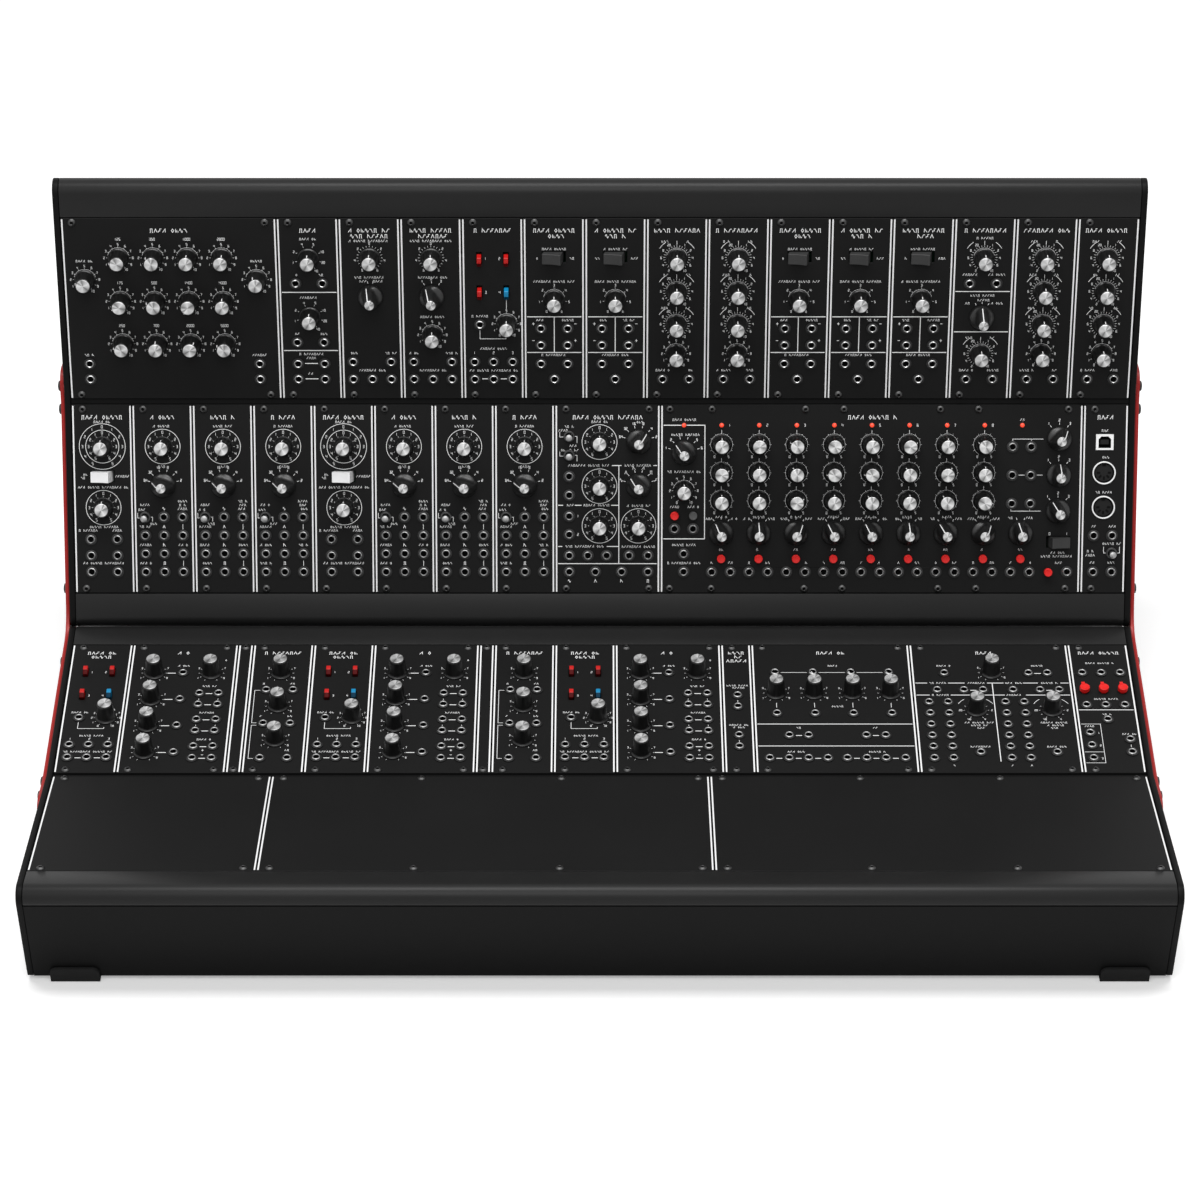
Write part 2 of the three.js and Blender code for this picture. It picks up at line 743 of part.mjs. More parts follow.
const widthOf = (kind) => moduleUnitShares[kind] * hp;
const isBlank = (kind) => !(kind in moduleShares);

// One group of neighbouring modules: faceplates, boards, sockets and fixed controls in one piece
function moduleGroup(group, left) {
  const width = group.modules.reduce((sum, kind) => sum + widthOf(kind), 0);
  const plate = box(width - touchGap, panelHeight, panelThickness, left + width / 2, panelHeight / 2, 0);
  plate.translate(0, 0, -panelThickness / 2);
  const added = [];
  const cuts = [];
  const cores = [];
  const controls = [];
  let edge = left;
  group.modules.forEach((kind, index) => {
    const moduleWidth = widthOf(kind);
    const at = ([across, up]) => [edge + across * moduleWidth, up * panelHeight];
    if (index) {
      const seam = box(panelSeam, panelHeight + 2 * rooted, 2 * panelSeamDepth, edge, panelHeight / 2, 0);
      cuts.push(solidOf(seam));
    }
    if (!isBlank(kind)) added.push(solidOf(boardOf(moduleWidth).translate(edge + moduleWidth / 2, 0, 0)));
    for (const [control, places] of Object.entries(moduleShares[kind] ?? {})) {
      places.forEach((place, i) => {
        const [x, y] = at(place);
        const put = (geometry) => solidOf(geometry.translate(x, y, 0));
        const isHere = (m) => m.module === index && m.kind === control && m.place === i;
        const moving = group.moving.find(isHere);
        if (socketParts[control]) {
          const { body, bore, core } = socketParts[control]();
          added.push(put(body));
          cuts.push(put(bore));
          cores.push(put(core));
        } else if (moving) {
          if (control === "toggles") added.push(put(nutShape()));
          cuts.push(put(openings[control]()));
          controls.push({ ...moving, x, y });
        } else added.push(put(fixedShapes[control]()));
      });
    }
    edge += moduleWidth;
  });
  const body = joined([cutBy(joined([solidOf(plate), ...added]), cuts), ...cores]);
  return { body: geometryOf(body), controls, width };
}

// One row of a case: its frame has X along the row, Y up the faceplates and Z out of them
function addRow(parent, row) {
  const frame = new THREE.Group();
  const [y, z] = row.side > 0 ? rowPoint(1, 0, 0) : rowPoint(-1, panelHeight, 0);
  frame.position.set(0, y, z);
  frame.rotation.x = row.side * rowTilt;
  parent.add(frame);
  let left = -rowWidth / 2;
  for (const group of row.groups) {
    const { body, controls, width } = moduleGroup(group, left);
    frame.add(mesh(group.name, body, finish.panel));
    for (const control of controls) {
      const look = finish[control.color ?? plainFinish[control.kind]];
      const made = mesh(control.name, movingShapes[control.kind](control), look);
      made.position.set(control.x, control.y, -(pivotDepth[control.kind] ?? 0));
      frame.add(made);
    }
    left += width;
  }
}

// Power board: two bus strips, the supply block and the inlet that reaches into the rear wall
function powerBoardSolid() {
  const { width, depth, wall, lift, back } = powerBoard;
  const floor = panWall + lift;
  const parts = [box(width, depth, wall, 0, back, floor + wall / 2)];
  for (const side of [-1, 1]) {
    const { width: length, depth: across, height, spacing } = busStrip;
    parts.push(box(length, across, height, 0, back + side * spacing, floor + height / 2));
    for (const end of [-1, 1]) {
      const x = end * (width / 2 - standoff.inset);
      const y = back + side * (depth / 2 - standoff.inset);
      const foot = panWall + touchGap;
      const top = floor + wall / 2;
      parts.push(box(standoff.size, standoff.size, top - foot, x, y, (top + foot) / 2));
    }
  }
  const block = supplyBlock;
  parts.push(box(block.width, block.depth, block.height, 0, back, floor + block.height / 2));
  const reach = inletFace() - back;
  parts.push(box(inlet.width, reach, inlet.height, inlet.right, back + reach / 2, inletHeight()));
  const bore = column(shaftSides, inlet.bore, inlet.bore, -inlet.boreDepth, rooted).rotateX(-quarterTurn);
  const tool = solidOf(bore.translate(inlet.right, inletFace(), inletHeight()));
  return joined(parts.map(solidOf)).subtract(tool);
}

const inletHeight = () => panWall + powerBoard.lift + inlet.height / 2;

// The inlet's face ends within the wall, which leans out over it
const inletFace = () => wallPoint(1, (inletHeight() - inlet.height / 2) / Math.cos(undercut), 0)[0];

function panSolid() {
  const half = rowWidth / 2;
  const wide = inlet.width + 2 * touchGap;
  const tall = inlet.height + 2 * touchGap;
  const cut = box(wide, inlet.overrun, tall, inlet.right, baseHalf, inletHeight());
  return solidOf(alongX(panShape(), -half, half)).subtract(solidOf(cut));
}

// The foot on one side of one wall, in the frame of its case
function footGeometry(side, end) {
  const outer = rowWidth / 2 + touchGap + cheekWall - footInset;
  const [from, to] = end > 0 ? [outer - footWidth, outer] : [-outer, footWidth - outer];
  return alongX(footShape(side), from, to);
}

// Places of the stacking screws on a cheek, for a case whose free row is at the given side
function stackScrews(side) {
  return [
    rowPoint(1, screwSpread - rowGap / 2, screwDepth),
    rowPoint(-1, screwSpread - rowGap / 2, screwDepth),
    rowPoint(side, panelHeight - screwEdge, screwEdgeDepth),
  ];
}

const cheekInside = rowWidth / 2 + touchGap;
const cheekOutside = cheekInside + cheekWall;
const linkInside = cheekOutside + linkGap;
const linkOutside = linkInside + linkWall;

// A column along X between two distances from the middle, at a place in the side view
function sideColumn(end, sides, radius, from, to, [y, z]) {
  return solidOf(column(sides, radius, radius, from, to).rotateY(end * quarterTurn).translate(0, y, z));
}

// A cheek closes one end of a case, and holds the screws that clamp the link plate
function cheekGeometry(end, joinedSide) {
  const [from, to] = end > 0 ? [cheekInside, cheekOutside] : [-cheekOutside, -cheekInside];
  const parts = [solidOf(alongX(cheekShape(), from, to))];
  for (const place of stackScrews(joinedSide)) {
    const seat = linkOutside + touchGap;
    parts.push(sideColumn(end, screwSides, screwRadius, cheekOutside - rooted, seat + rooted, place));
    parts.push(sideColumn(end, screwSides, screwHeadRadius, seat, seat + screwHeadHeight, place));
  }
  return geometryOf(joined(parts));
}

function caseGroup(name, isUpper) {
  const frame = new THREE.Group();
  const half = rowWidth / 2;
  for (const [side, place] of [[-1, "front"], [1, "rear"]]) {
    const profile = alongX(fasciaShape(side), -half, half);
    frame.add(mesh(`${name}_${place}_fascia`, profile, finish.fascia));
  }
  frame.add(mesh(`${name}_centre_rail`, alongX(centreRailShape(), -half, half), finish.rail));
  for (const [end, place] of [[-1, "left"], [1, "right"]]) {
    frame.add(mesh(`${name}_${place}_cheek`, cheekGeometry(end, isUpper ? -1 : 1), finish.sheet));
  }
  frame.add(mesh(`${name}_power_board`, geometryOf(powerBoardSolid()), finish.board));
  rows.filter((row) => row.case === name).forEach((row) => addRow(frame, row));
  return frame;
}

// A place in the standing case, seen from the side, in the frame of the flat one. The case is turned about
// the foot of its front wall, and its front bend keeps its distance from the flat case's rear bend.
function turnedUp([y, z]) {
  const out = y + baseHalf;
  return [
    out * Math.cos(stackTilt) - z * Math.sin(stackTilt),
    out * Math.sin(stackTilt) + z * Math.cos(stackTilt),
  ];
}

const bendSpacing = 2 * bendRadius + stackGap;
const turnedBend = turnedUp([-bendCentre[0], bendCentre[1]]);
const stackFoot = [
  bendCentre[0] + bendSpacing * Math.cos(stackRise) - turnedBend[0],
  bendCentre[1] + bendSpacing * Math.sin(stackRise) - turnedBend[1],
];
const toStack = (place) => turnedUp(place).map((value, i) => value + stackFoot[i]);

// Where two lines meet, each given by two points
function meet([a, b], [c, d]) {
  const [ux, uy] = [b[0] - a[0], b[1] - a[1]];
  const [vx, vy] = [d[0] - c[0], d[1] - c[1]];
  const t = ((c[0] - a[0]) * vy - (c[1] - a[1]) * vx) / (ux * vy - uy * vx);
  return [a[0] + t * ux, a[1] + t * uy];
}

// The red plate follows the open edges of both cases, with an arm along each
function linkShape() {
  const flatLine = (side, depth) => [rowPoint(side, 0, depth), rowPoint(side, panelHeight, depth)];
  const stackLine = (side, depth) => flatLine(side, depth).map(toStack);
  const outer = linkInset + linkArm;
  const backLine = stackLine(-1, outer);
  const lowLine = flatLine(1, outer);
  return roundedShape(
    [
      { at: rowPoint(-1, linkReach, linkInset), radius: linkTipRadius },
      { at: meet(flatLine(-1, linkInset), flatLine(1, linkInset)), radius: linkTipRadius },
      { at: meet(flatLine(1, linkInset), stackLine(-1, linkInset)), radius: linkCornerRadius },
      { at: meet(stackLine(-1, linkInset), stackLine(1, linkInset)), radius: linkTipRadius },
      { at: toStack(rowPoint(1, linkStackReach, linkInset)), radius: linkTipRadius },
      { at: toStack(rowPoint(1, linkStackReach, outer)), radius: linkTipRadius },
      { at: meet(backLine, lowLine), radius: linkHeelRadius },
      { at: rowPoint(-1, linkReach, outer), radius: linkTipRadius },
    ],
    linkSteps,
  );
}

function linkPlate(end) {
  const [from, to] = end > 0 ? [linkInside, linkOutside] : [-linkOutside, -linkInside];
  const plate = solidOf(alongX(new THREE.Shape(linkShape()), from, to));
  const places = [...stackScrews(1), ...stackScrews(-1).map(toStack)];
  const radius = screwRadius + screwClearance;
  const hole = (at) => sideColumn(end, screwSides, radius, linkInside - rooted, linkOutside + rooted, at);
  return geometryOf(cutBy(plate, places.map(hole)));
}

const synthesizer = new THREE.Group();

const lowerCase = caseGroup("lower", false);
lowerCase.add(mesh("lower_pan", geometryOf(panSolid()), finish.sheet));
for (const [side, place] of [[-1, "front"], [1, "rear"]]) {
  for (const [end, hand] of [[-1, "left"], [1, "right"]]) {
    lowerCase.add(mesh(`${place}_${hand}_foot`, footGeometry(side, end), finish.rubber));
  }
}
for (const [end, hand] of [[-1, "left"], [1, "right"]]) {
  lowerCase.add(mesh(`${hand}_link_plate`, linkPlate(end), finish.link));
}
synthesizer.add(lowerCase);

const upperCase = caseGroup("upper", true);
upperCase.add(mesh("upper_pan", geometryOf(panSolid()), finish.sheet));
upperCase.position.set(0, ...toStack([0, 0]));
upperCase.rotation.x = stackTilt;
synthesizer.add(upperCase);

// The origin is on the floor, under the middle of the whole
const bounds = new THREE.Box3().setFromObject(synthesizer);
synthesizer.position.set(0, -(bounds.min.y + bounds.max.y) / 2, -bounds.min.z);

export default synthesizer;
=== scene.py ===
import math
import bmesh
import bpy
import numpy as np
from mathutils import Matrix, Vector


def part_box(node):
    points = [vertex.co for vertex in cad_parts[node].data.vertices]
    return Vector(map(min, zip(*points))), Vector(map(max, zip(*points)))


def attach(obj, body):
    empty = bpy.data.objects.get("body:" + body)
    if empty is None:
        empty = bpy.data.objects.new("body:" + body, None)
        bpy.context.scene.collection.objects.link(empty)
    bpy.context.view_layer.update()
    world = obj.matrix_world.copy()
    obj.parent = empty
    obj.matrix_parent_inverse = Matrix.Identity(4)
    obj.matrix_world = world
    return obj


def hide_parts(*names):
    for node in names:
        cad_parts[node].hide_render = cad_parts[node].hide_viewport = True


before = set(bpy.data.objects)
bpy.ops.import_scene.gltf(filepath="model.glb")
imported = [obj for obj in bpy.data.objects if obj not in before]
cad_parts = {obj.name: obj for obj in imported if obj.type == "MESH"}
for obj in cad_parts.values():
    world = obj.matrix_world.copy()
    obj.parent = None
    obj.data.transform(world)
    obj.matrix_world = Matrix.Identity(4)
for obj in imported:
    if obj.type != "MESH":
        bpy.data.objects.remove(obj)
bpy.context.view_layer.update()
mm = 0.001

# The rack and the side profile of its two cases, in millimetres and degrees
rack = {"unit": 5.08, "units": 140, "height": 128.5, "thick": 2.0, "seam": 0.5}
case = {
    "tilt": 7.6, "gap": 4.1, "valley": 59.5, "lip": 16.25, "bend": 8.4, "bendSteps": 14, "lean": 14.27,
    "sheet": 1.5, "fascia": 2.0, "tongue": 9.0, "seam": 0.6, "clear": 0.3, "cheek": 4.0,
    "reach": 8.0, "depth": 10.0, "fold": 2.2, "wallSeam": 1.0, "corner": 3.0,
}
stack = {"tilt": 75.7, "gap": 0.73, "rise": 40.14}
halfRow = rack["unit"] * rack["units"] / 2


def cosSin(degrees):
    return math.cos(math.radians(degrees)), math.sin(math.radians(degrees))


tiltCos, tiltSin = cosSin(case["tilt"])
leanCos, leanSin = cosSin(case["lean"])


def rowPoint(side, along, depth):
    # a way along a row from its inner edge, and a depth under its surface
    y = case["gap"] / 2 + along * tiltCos + depth * tiltSin
    return np.array([side * y, case["valley"] + along * tiltSin - depth * tiltCos])


bendCentre = rowPoint(1, rack["height"] + case["lip"], case["bend"])
bendEnd = bendCentre + case["bend"] * np.array([leanCos, -leanSin])
wallLength = bendEnd[1] / leanCos
baseHalf = bendEnd[0] - wallLength * leanSin


def wallPoint(side, up, out):
    # a way up the front or rear wall, offset outwards
    return np.array([side * (baseHalf + up * leanSin + out * leanCos), up * leanCos - out * leanSin])


def bendPoints(side, radius):
    # the round bend from the lip down to the wall
    angles = np.radians(np.linspace(90 + case["tilt"], -case["lean"], case["bendSteps"]))
    y, z = bendCentre
    return [np.array([side * (y + radius * math.cos(a)), z + radius * math.sin(a)]) for a in angles]


def shift(x, y, z):
    made = np.eye(4)
    made[:3, 3] = x, y, z
    return made


def turnX(degrees):
    made = np.eye(4)
    c, s = cosSin(degrees)
    made[1:3, 1:3] = [[c, -s], [s, c]]
    return made


def turnedUp(point):
    # a side-view place in the standing case, turned about the foot of its front wall
    return turnX(stack["tilt"])[1:3, 1:3] @ (np.array(point) + (baseHalf, 0))


# The standing case's front bend keeps its distance from the flat case's rear bend
spacing = 2 * case["bend"] + stack["gap"]
between = spacing * np.array(cosSin(stack["rise"]))
stackFoot = bendCentre + between - turnedUp((-bendCentre[0], bendCentre[1]))

panLow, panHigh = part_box("lower_pan")
lowerFrame = shift(0, (panLow.y + panHigh.y) / 2 / mm, panLow.z / mm)
upperFrame = lowerFrame @ shift(0, *stackFoot) @ turnX(stack["tilt"]) @ shift(0, baseHalf, 0)
caseFrames = {"lower": lowerFrame, "upper": upperFrame}


def rowFrame(name, side):
    y, z = rowPoint(1, 0, 0) if side > 0 else rowPoint(-1, rack["height"], 0)
    return caseFrames[name] @ shift(0, y, z) @ turnX(side * case["tilt"])


# Camera: the photograph's standpoint, far away and looking down
view = {"back": -2144.8, "up": 1538.3, "down": 32.09, "lens": 120.15, "sensor": 36, "clip": 50}
camera = bpy.data.objects.new("camera", bpy.data.cameras.new("camera"))
bpy.context.scene.collection.objects.link(camera)
camera.data.lens = view["lens"]
camera.data.sensor_width = view["sensor"]
camera.data.clip_end = view["clip"]
camera.location = (0, (lowerFrame[1, 3] + view["back"]) * mm, (lowerFrame[2, 3] + view["up"]) * mm)
camera.rotation_euler = (math.radians(90 - view["down"]), 0, 0)
bpy.context.scene.camera = camera
print("camera set")


# Shader maths: a socket that can be used in sums
class Wire:
    def __init__(self, finish, socket):
        self.finish = finish
        self.socket = socket

    def maths(self, operation, *others):
        return self.finish.node("ShaderNodeMath", {"operation": operation}, [self, *others])

    def __add__(self, other):
        return self.maths("ADD", other)

    def __mul__(self, other):
        return self.maths("MULTIPLY", other)


class Finish:
    def __init__(self, name):
        self.material = bpy.data.materials.new(name)
        self.material.use_nodes = True
        self.nodes = self.material.node_tree.nodes
        self.links = self.material.node_tree.links
        self.shader = self.nodes["Principled BSDF"]
        self.place = self.node("ShaderNodeTexCoord", {}, [], "Object")

    def node(self, kind, settings, inputs, output=0):
        made = self.nodes.new(kind)
        stops = settings.pop("stops", None)
        for key, value in settings.items():
            setattr(made, key, value)
        if stops:
            ramp = made.color_ramp
            for i, (position, colour) in enumerate(stops):
                stop = ramp.elements[i] if i < 2 else ramp.elements.new(position)
                stop.position = position
                stop.color = (*colour, 1)
        pairs = inputs.items() if isinstance(inputs, dict) else enumerate(inputs)
        for key, value in pairs:
            self.feed(made.inputs[key], value)
        return Wire(self, made.outputs[output])

    def feed(self, socket, value):
        if isinstance(value, Wire):
            self.links.new(value.socket, socket)
        else:
            socket.default_value = value

    def noise(self, scale, detail=2.0):
        return self.node("ShaderNodeTexNoise", {}, {"Vector": self.place, "Scale": scale, "Detail": detail})

    def blend(self, mask, first, second):
        made = self.nodes.new("ShaderNodeMix")
        made.data_type = "RGBA"
        self.feed(made.inputs["Factor"], mask)
        for socket, value in zip((made.inputs[6], made.inputs[7]), (first, second)):
            self.feed(socket, value if isinstance(value, Wire) else (*value, 1))
        return Wire(self, made.outputs[2])

    def bump(self, height, distance):
        return self.node("ShaderNodeBump", {}, {"Height": height, "Distance": distance, "Strength": 1.0})

    def set(self, **values):
        for key, value in values.items():
            self.feed(self.shader.inputs[key.replace("_", " ")], value)
        return self.material


def shade(level):
    # an sRGB grey or colour out of 255, as linear light
    levels = level if isinstance(level, tuple) else (level, level, level)
    return tuple((v / 255 / 12.92) if v < 10.3 else ((v / 255 + 0.055) / 1.055) ** 2.4 for v in levels)


# fasciaCoat and caseCoat are one black coat in two tones: lighter on the fasciae, whose lips and bends face up, as
# painted light; darker on the pans' walls, the cheeks and the rails, as painted shade
coats = {
    "caseCoat": {"dark": 12, "light": 16, "gloss": 0.06, "rough": 0.44, "grain": 1400, "lift": 0.00004},
    "fasciaCoat": {"dark": 23, "light": 28, "gloss": 0.16, "rough": 0.36, "grain": 1400, "lift": 0.00004},
    "panelCoat": {"dark": 22, "light": 26, "gloss": 0.05, "rough": 0.5, "grain": 2200, "lift": 0.00002},
    "linkCoat": {
        "dark": (144, 12, 8), "light": (156, 17, 11), "gloss": 0.35, "rough": 0.4, "grain": 1300, "lift": 0.00005,
    },
}
coatPatches = {"scale": 14.0, "detail": 3.0, "spread": 0.12}


def coatedSheet(name):
    # powder coat: a fine orange-peel grain, with slow patches of tone and gloss
    made, look = Finish(name), coats[name]
    grain = made.noise(look["grain"])
    patches = made.noise(coatPatches["scale"], coatPatches["detail"])
    colour = made.blend(patches, shade(look["dark"]), shade(look["light"]))
    return made.set(
        Base_Color=colour, Roughness=patches * coatPatches["spread"] + (look["rough"] - coatPatches["spread"] / 2),
        Specular_IOR_Level=look["gloss"], Normal=made.bump(grain, look["lift"]),
    )


chalk = {"dark": 214, "light": 240, "rough": 0.6, "grain": 3000.0, "detail": 4.0, "lift": 0.00001}


def whitePrint():
    # screen print: chalky white that thins out a little
    made = Finish("whitePrint")
    speckle = made.noise(chalk["grain"], chalk["detail"])
    return made.set(
        Base_Color=made.blend(speckle, shade(chalk["dark"]), shade(chalk["light"])), Roughness=chalk["rough"],
        Normal=made.bump(speckle, chalk["lift"]),
    )


moulding = {"cloud": 60.0, "grain": 900.0, "detail": 3.0, "spread": 0.1, "lift": 0.00002}


def mouldedPlastic(name, dark, light, rough, gloss, grain=moulding["grain"]):
    # a slow cloud of two tones under a fine grain
    made = Finish(name)
    cloud, spark = made.noise(moulding["cloud"]), made.noise(grain, moulding["detail"])
    return made.set(
        Base_Color=made.blend(cloud, shade(dark), shade(light)), Roughness=spark * moulding["spread"] + rough,
        Specular_IOR_Level=gloss, Normal=made.bump(spark, moulding["lift"]),
    )


# A spun cap, with sectors of painted highlight in its colour: how far round, and how bright out of 255
spun = {
    "rings": 95.0, "ringLift": 0.6, "grain": 1800.0, "detail": 3.0, "metal": 0.7, "rough": 0.32, "spread": 0.15,
    "lift": 0.00002,
    "fan": [
        (0.0, 198), (0.1, 153), (0.17, 102), (0.24, 170), (0.34, 209), (0.46, 172),
        (0.56, 114), (0.63, 204), (0.68, 124), (0.74, 218), (0.88, 184), (1.0, 198),
    ],
}


def spunAluminium():
    # rings of the lathe tool, and sectors of painted highlight that fan out from the middle
    made = Finish("spunAluminium")
    across = made.node("ShaderNodeAttribute", {"attribute_name": "across"}, [], "Vector")
    x = made.node("ShaderNodeSeparateXYZ", {}, [across], "X")
    y = Wire(made, x.socket.node.outputs["Y"])
    turn = y.maths("ARCTAN2", x) * (0.5 / math.pi) + 0.5
    stops = [(position, shade(level)) for position, level in spun["fan"]]
    fan = made.node("ShaderNodeValToRGB", {"stops": stops}, [turn])
    radius = made.node("ShaderNodeVectorMath", {"operation": "LENGTH"}, [across], "Value")
    rings = (radius * spun["rings"]).maths("SINE")
    grit = made.noise(spun["grain"], spun["detail"])
    return made.set(
        Base_Color=fan, Metallic=spun["metal"], Roughness=grit * spun["spread"] + spun["rough"],
        Normal=made.bump(rings * spun["ringLift"] + grit, spun["lift"]),
    )


plating = {"fade": 14, "grain": 1500.0, "detail": 3.0, "spread": 0.16, "lift": 0.00001}


def platedMetal(name, tone, rough):
    made = Finish(name)
    grit = made.noise(plating["grain"], plating["detail"])
    return made.set(
        Base_Color=made.blend(grit, shade(tone - plating["fade"]), shade(tone)), Metallic=1.0,
        Roughness=grit * plating["spread"] + rough, Normal=made.bump(grit, plating["lift"]),
    )


glow = {
    "coat": ((220, 50, 30), (240, 70, 44)), "light": ((236, 62, 36), (255, 92, 60)), "strength": 0.55, "rough": 0.25,
    "grain": 400.0,
}


def lampGlow():
    # a lit red diode, in tones that drift a little
    made = Finish("lampGlow")
    haze = made.noise(glow["grain"])
    coat, light = [made.blend(haze, *map(shade, glow[name])) for name in ("coat", "light")]
    return made.set(
        Base_Color=coat, Roughness=glow["rough"], Emission_Color=light, Emission_Strength=glow["strength"],
    )


# Plastics: dark tone, light tone, roughness, gloss, and the grain where it isn't the usual one
plastics = {
    "knobPlastic": (10, 14, 0.27, 0.42),
    "selectorPlastic": (15, 20, 0.34, 0.55),
    "rockerPlastic": (40, 46, 0.5, 0.3),
    "offPlastic": (68, 76, 0.45, 0.3),
    "socketPlastic": (24, 30, 0.55, 0.1),
    "whitePlastic": (224, 232, 0.35, 0.4),
    "redPlastic": ((204, 21, 19), (218, 29, 26), 0.4, 0.35),
    "leverRedPlastic": ((170, 13, 11), (184, 19, 16), 0.42, 0.3),
    # darker copies of the levers' red and blue, for their lower faces: painted shade
    "deepRedPlastic": ((66, 2, 3), (76, 4, 5), 0.5, 0.08),
    "bluePlastic": ((2, 112, 156), (6, 128, 176), 0.42, 0.3),
    "deepBluePlastic": ((0, 42, 62), (1, 48, 70), 0.5, 0.08),
    "boardGreen": ((20, 62, 40), (28, 78, 50), 0.45, 0.4),
    # near black for bores, gaps, slots, recesses and the socket bodies seen through the bores: black parts with painted
    # shade on them
    "darkHollow": (4, 8, 0.8, 0.1),
    "footRubber": (16, 24, 0.8, 0.2, 500.0),
}
# Plated metals: tone and roughness
metals = {"toggleSteel": (158, 0.32), "nickel": (176, 0.3), "blackNickel": (58, 0.36), "screwSteel": (78, 0.34)}

finishes = {name: coatedSheet(name) for name in coats}
finishes |= {name: mouldedPlastic(name, *look) for name, look in plastics.items()}
finishes |= {name: platedMetal(name, *look) for name, look in metals.items()}
finishes |= {"whitePrint": whitePrint(), "spunAluminium": spunAluminium(), "lampGlow": lampGlow()}
print("finishes made:", len(finishes))


# Forms: vertices, four-sided faces and the number of each face's finish
def joinForms(forms):
    starts = np.cumsum([0] + [len(f[0]) for f in forms[:-1]])
    return (
        np.concatenate([f[0] for f in forms]),
        np.concatenate([f[1] + s for f, s in zip(forms, starts)]),
        np.concatenate([f[2] for f in forms]),
    )


def sheetForm(grid, look=0, closed=False):
    # a grid of points (rows, columns, 3) joined by faces, and round on itself where it is closed
    rows, columns = grid.shape[:2]
    index = np.arange(rows * columns).reshape(rows, columns)
    if closed:
        index = np.concatenate([index, index[:, :1]], axis=1)
    quads = np.stack([index[:-1, :-1], index[:-1, 1:], index[1:, 1:], index[1:, :-1]], axis=-1).reshape(-1, 4)
    looks = np.repeat(np.broadcast_to(look, rows - 1), index.shape[1] - 1)
    return grid.reshape(-1, 3), quads, looks


def turnedForm(rings, sides, looks=0, flutes=0, cut=0.0, fluted=()):
    # each ring (radius, height) goes round Z, and radius is waved by flutes where the ring's number is in fluted
    angles = (np.arange(sides) + 0.5) * 2 * math.pi / sides
    radii, heights = np.array(rings, float).T
    wave = np.ones((len(rings), sides))
    for i in fluted:
        wave[i] -= cut * (0.5 + 0.5 * np.cos(angles * flutes))
    grid = np.stack([
        radii[:, None] * np.cos(angles) * wave, radii[:, None] * np.sin(angles) * wave,
        np.repeat(heights[:, None], sides, axis=1),
    ], axis=-1)
    return sheetForm(grid, looks, closed=True)


def blockForm(low, high, look=0):
    # a closed box between two corners
    x, y, z = zip(low, high)
    corners = np.array([(x[i], y[j], z[k]) for k in (0, 1) for j in (0, 1) for i in (0, 1)], float)
    quads = np.array([[0, 2, 3, 1], [4, 5, 7, 6], [0, 1, 5, 4], [2, 6, 7, 3], [0, 4, 6, 2], [1, 3, 7, 5]])
    return corners, quads, np.full(6, look)


def prismForm(outline, half, ease):
    # an outline (y, z) drawn along X, with its end edges eased towards its middle
    ring = np.array(outline, float)
    middle = ring.mean(axis=0)
    inner = middle + (ring - middle) * (1 - ease / np.abs(ring - middle).max())
    levels = [(-half, middle), (-half, inner), (ease - half, ring), (half - ease, ring), (half, inner), (half, middle)]
    grid = [np.column_stack([np.full(len(ring), x), np.broadcast_to(edge, ring.shape)]) for x, edge in levels]
    return sheetForm(np.array(grid), closed=True)


def tipped(form, degrees, depth, axis):
    # turned about a pin at the given depth under the faceplate, along X (axis 0) or Y (axis 1)
    c, s = cosSin(degrees)
    turn = np.array([[[1, 0, 0], [0, c, -s], [0, s, c]], [[c, 0, s], [0, 1, 0], [-s, 0, c]]][axis])
    return (form[0] + (0, 0, depth)) @ turn.T - (0, 0, depth), form[1], form[2]


def moved(form, matrix):
    verts = form[0] @ matrix[:3, :3].T + matrix[:3, 3]
    return verts, form[1], form[2]


def turned(form, degrees):
    # turned to the left about Z
    c, s = cosSin(degrees)
    return form[0] @ np.array([[c, s, 0], [-s, c, 0], [0, 0, 1]]), form[1], form[2]


def copies(form, spots):
    # the same form at each spot (x, y), in one piece
    return joinForms([(form[0] + (x, y, 0), form[1], form[2]) for x, y in spots])


def finishMesh(made, sharp):
    work = bmesh.new()
    work.from_mesh(made)
    bmesh.ops.remove_doubles(work, verts=work.verts, dist=1e-7)
    bmesh.ops.recalc_face_normals(work, faces=work.faces)
    work.to_mesh(made)
    work.free()
    made.polygons.foreach_set("use_smooth", np.ones(len(made.polygons), bool))
    made.set_sharp_from_angle(angle=math.radians(sharp))
    made.update()


def place(made, looks, slot, body, nodes):
    piece = bpy.data.objects.new(made.name, made)
    bpy.context.scene.collection.objects.link(piece)
    for look in looks:
        made.materials.append(finishes[look])
    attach(piece, body)
    if nodes:
        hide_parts(*nodes)
    return piece


# Edges sharper than this stay crisp, and rims sharper than this are bevelled, in degrees
smoothAngle = 38
rimAngle = 50


def makePiece(name, form, matrix, looks, slot, body="frame", nodes=(), sharp=smoothAngle, across=None):
    # a form given in millimetres becomes a piece in metres; across holds the caps' own flat coordinates
    verts, quads, faceLooks = moved(form, matrix)
    made = bpy.data.meshes.new(name)
    made.vertices.add(len(verts))
    made.vertices.foreach_set("co", (verts * mm).ravel())
    made.loops.add(quads.size)
    made.loops.foreach_set("vertex_index", quads.ravel().astype(np.int32))
    made.polygons.add(len(quads))
    made.polygons.foreach_set("loop_start", np.arange(0, quads.size, 4, dtype=np.int32))
    made.polygons.foreach_set("material_index", faceLooks.astype(np.int32))
    made.update(calc_edges=True)
    if across is not None:
        spread = made.attributes.new("across", "FLOAT_VECTOR", "POINT")
        spread.data.foreach_set("vector", across.ravel())
    finishMesh(made, sharp)
    return place(made, looks, slot, body, nodes)


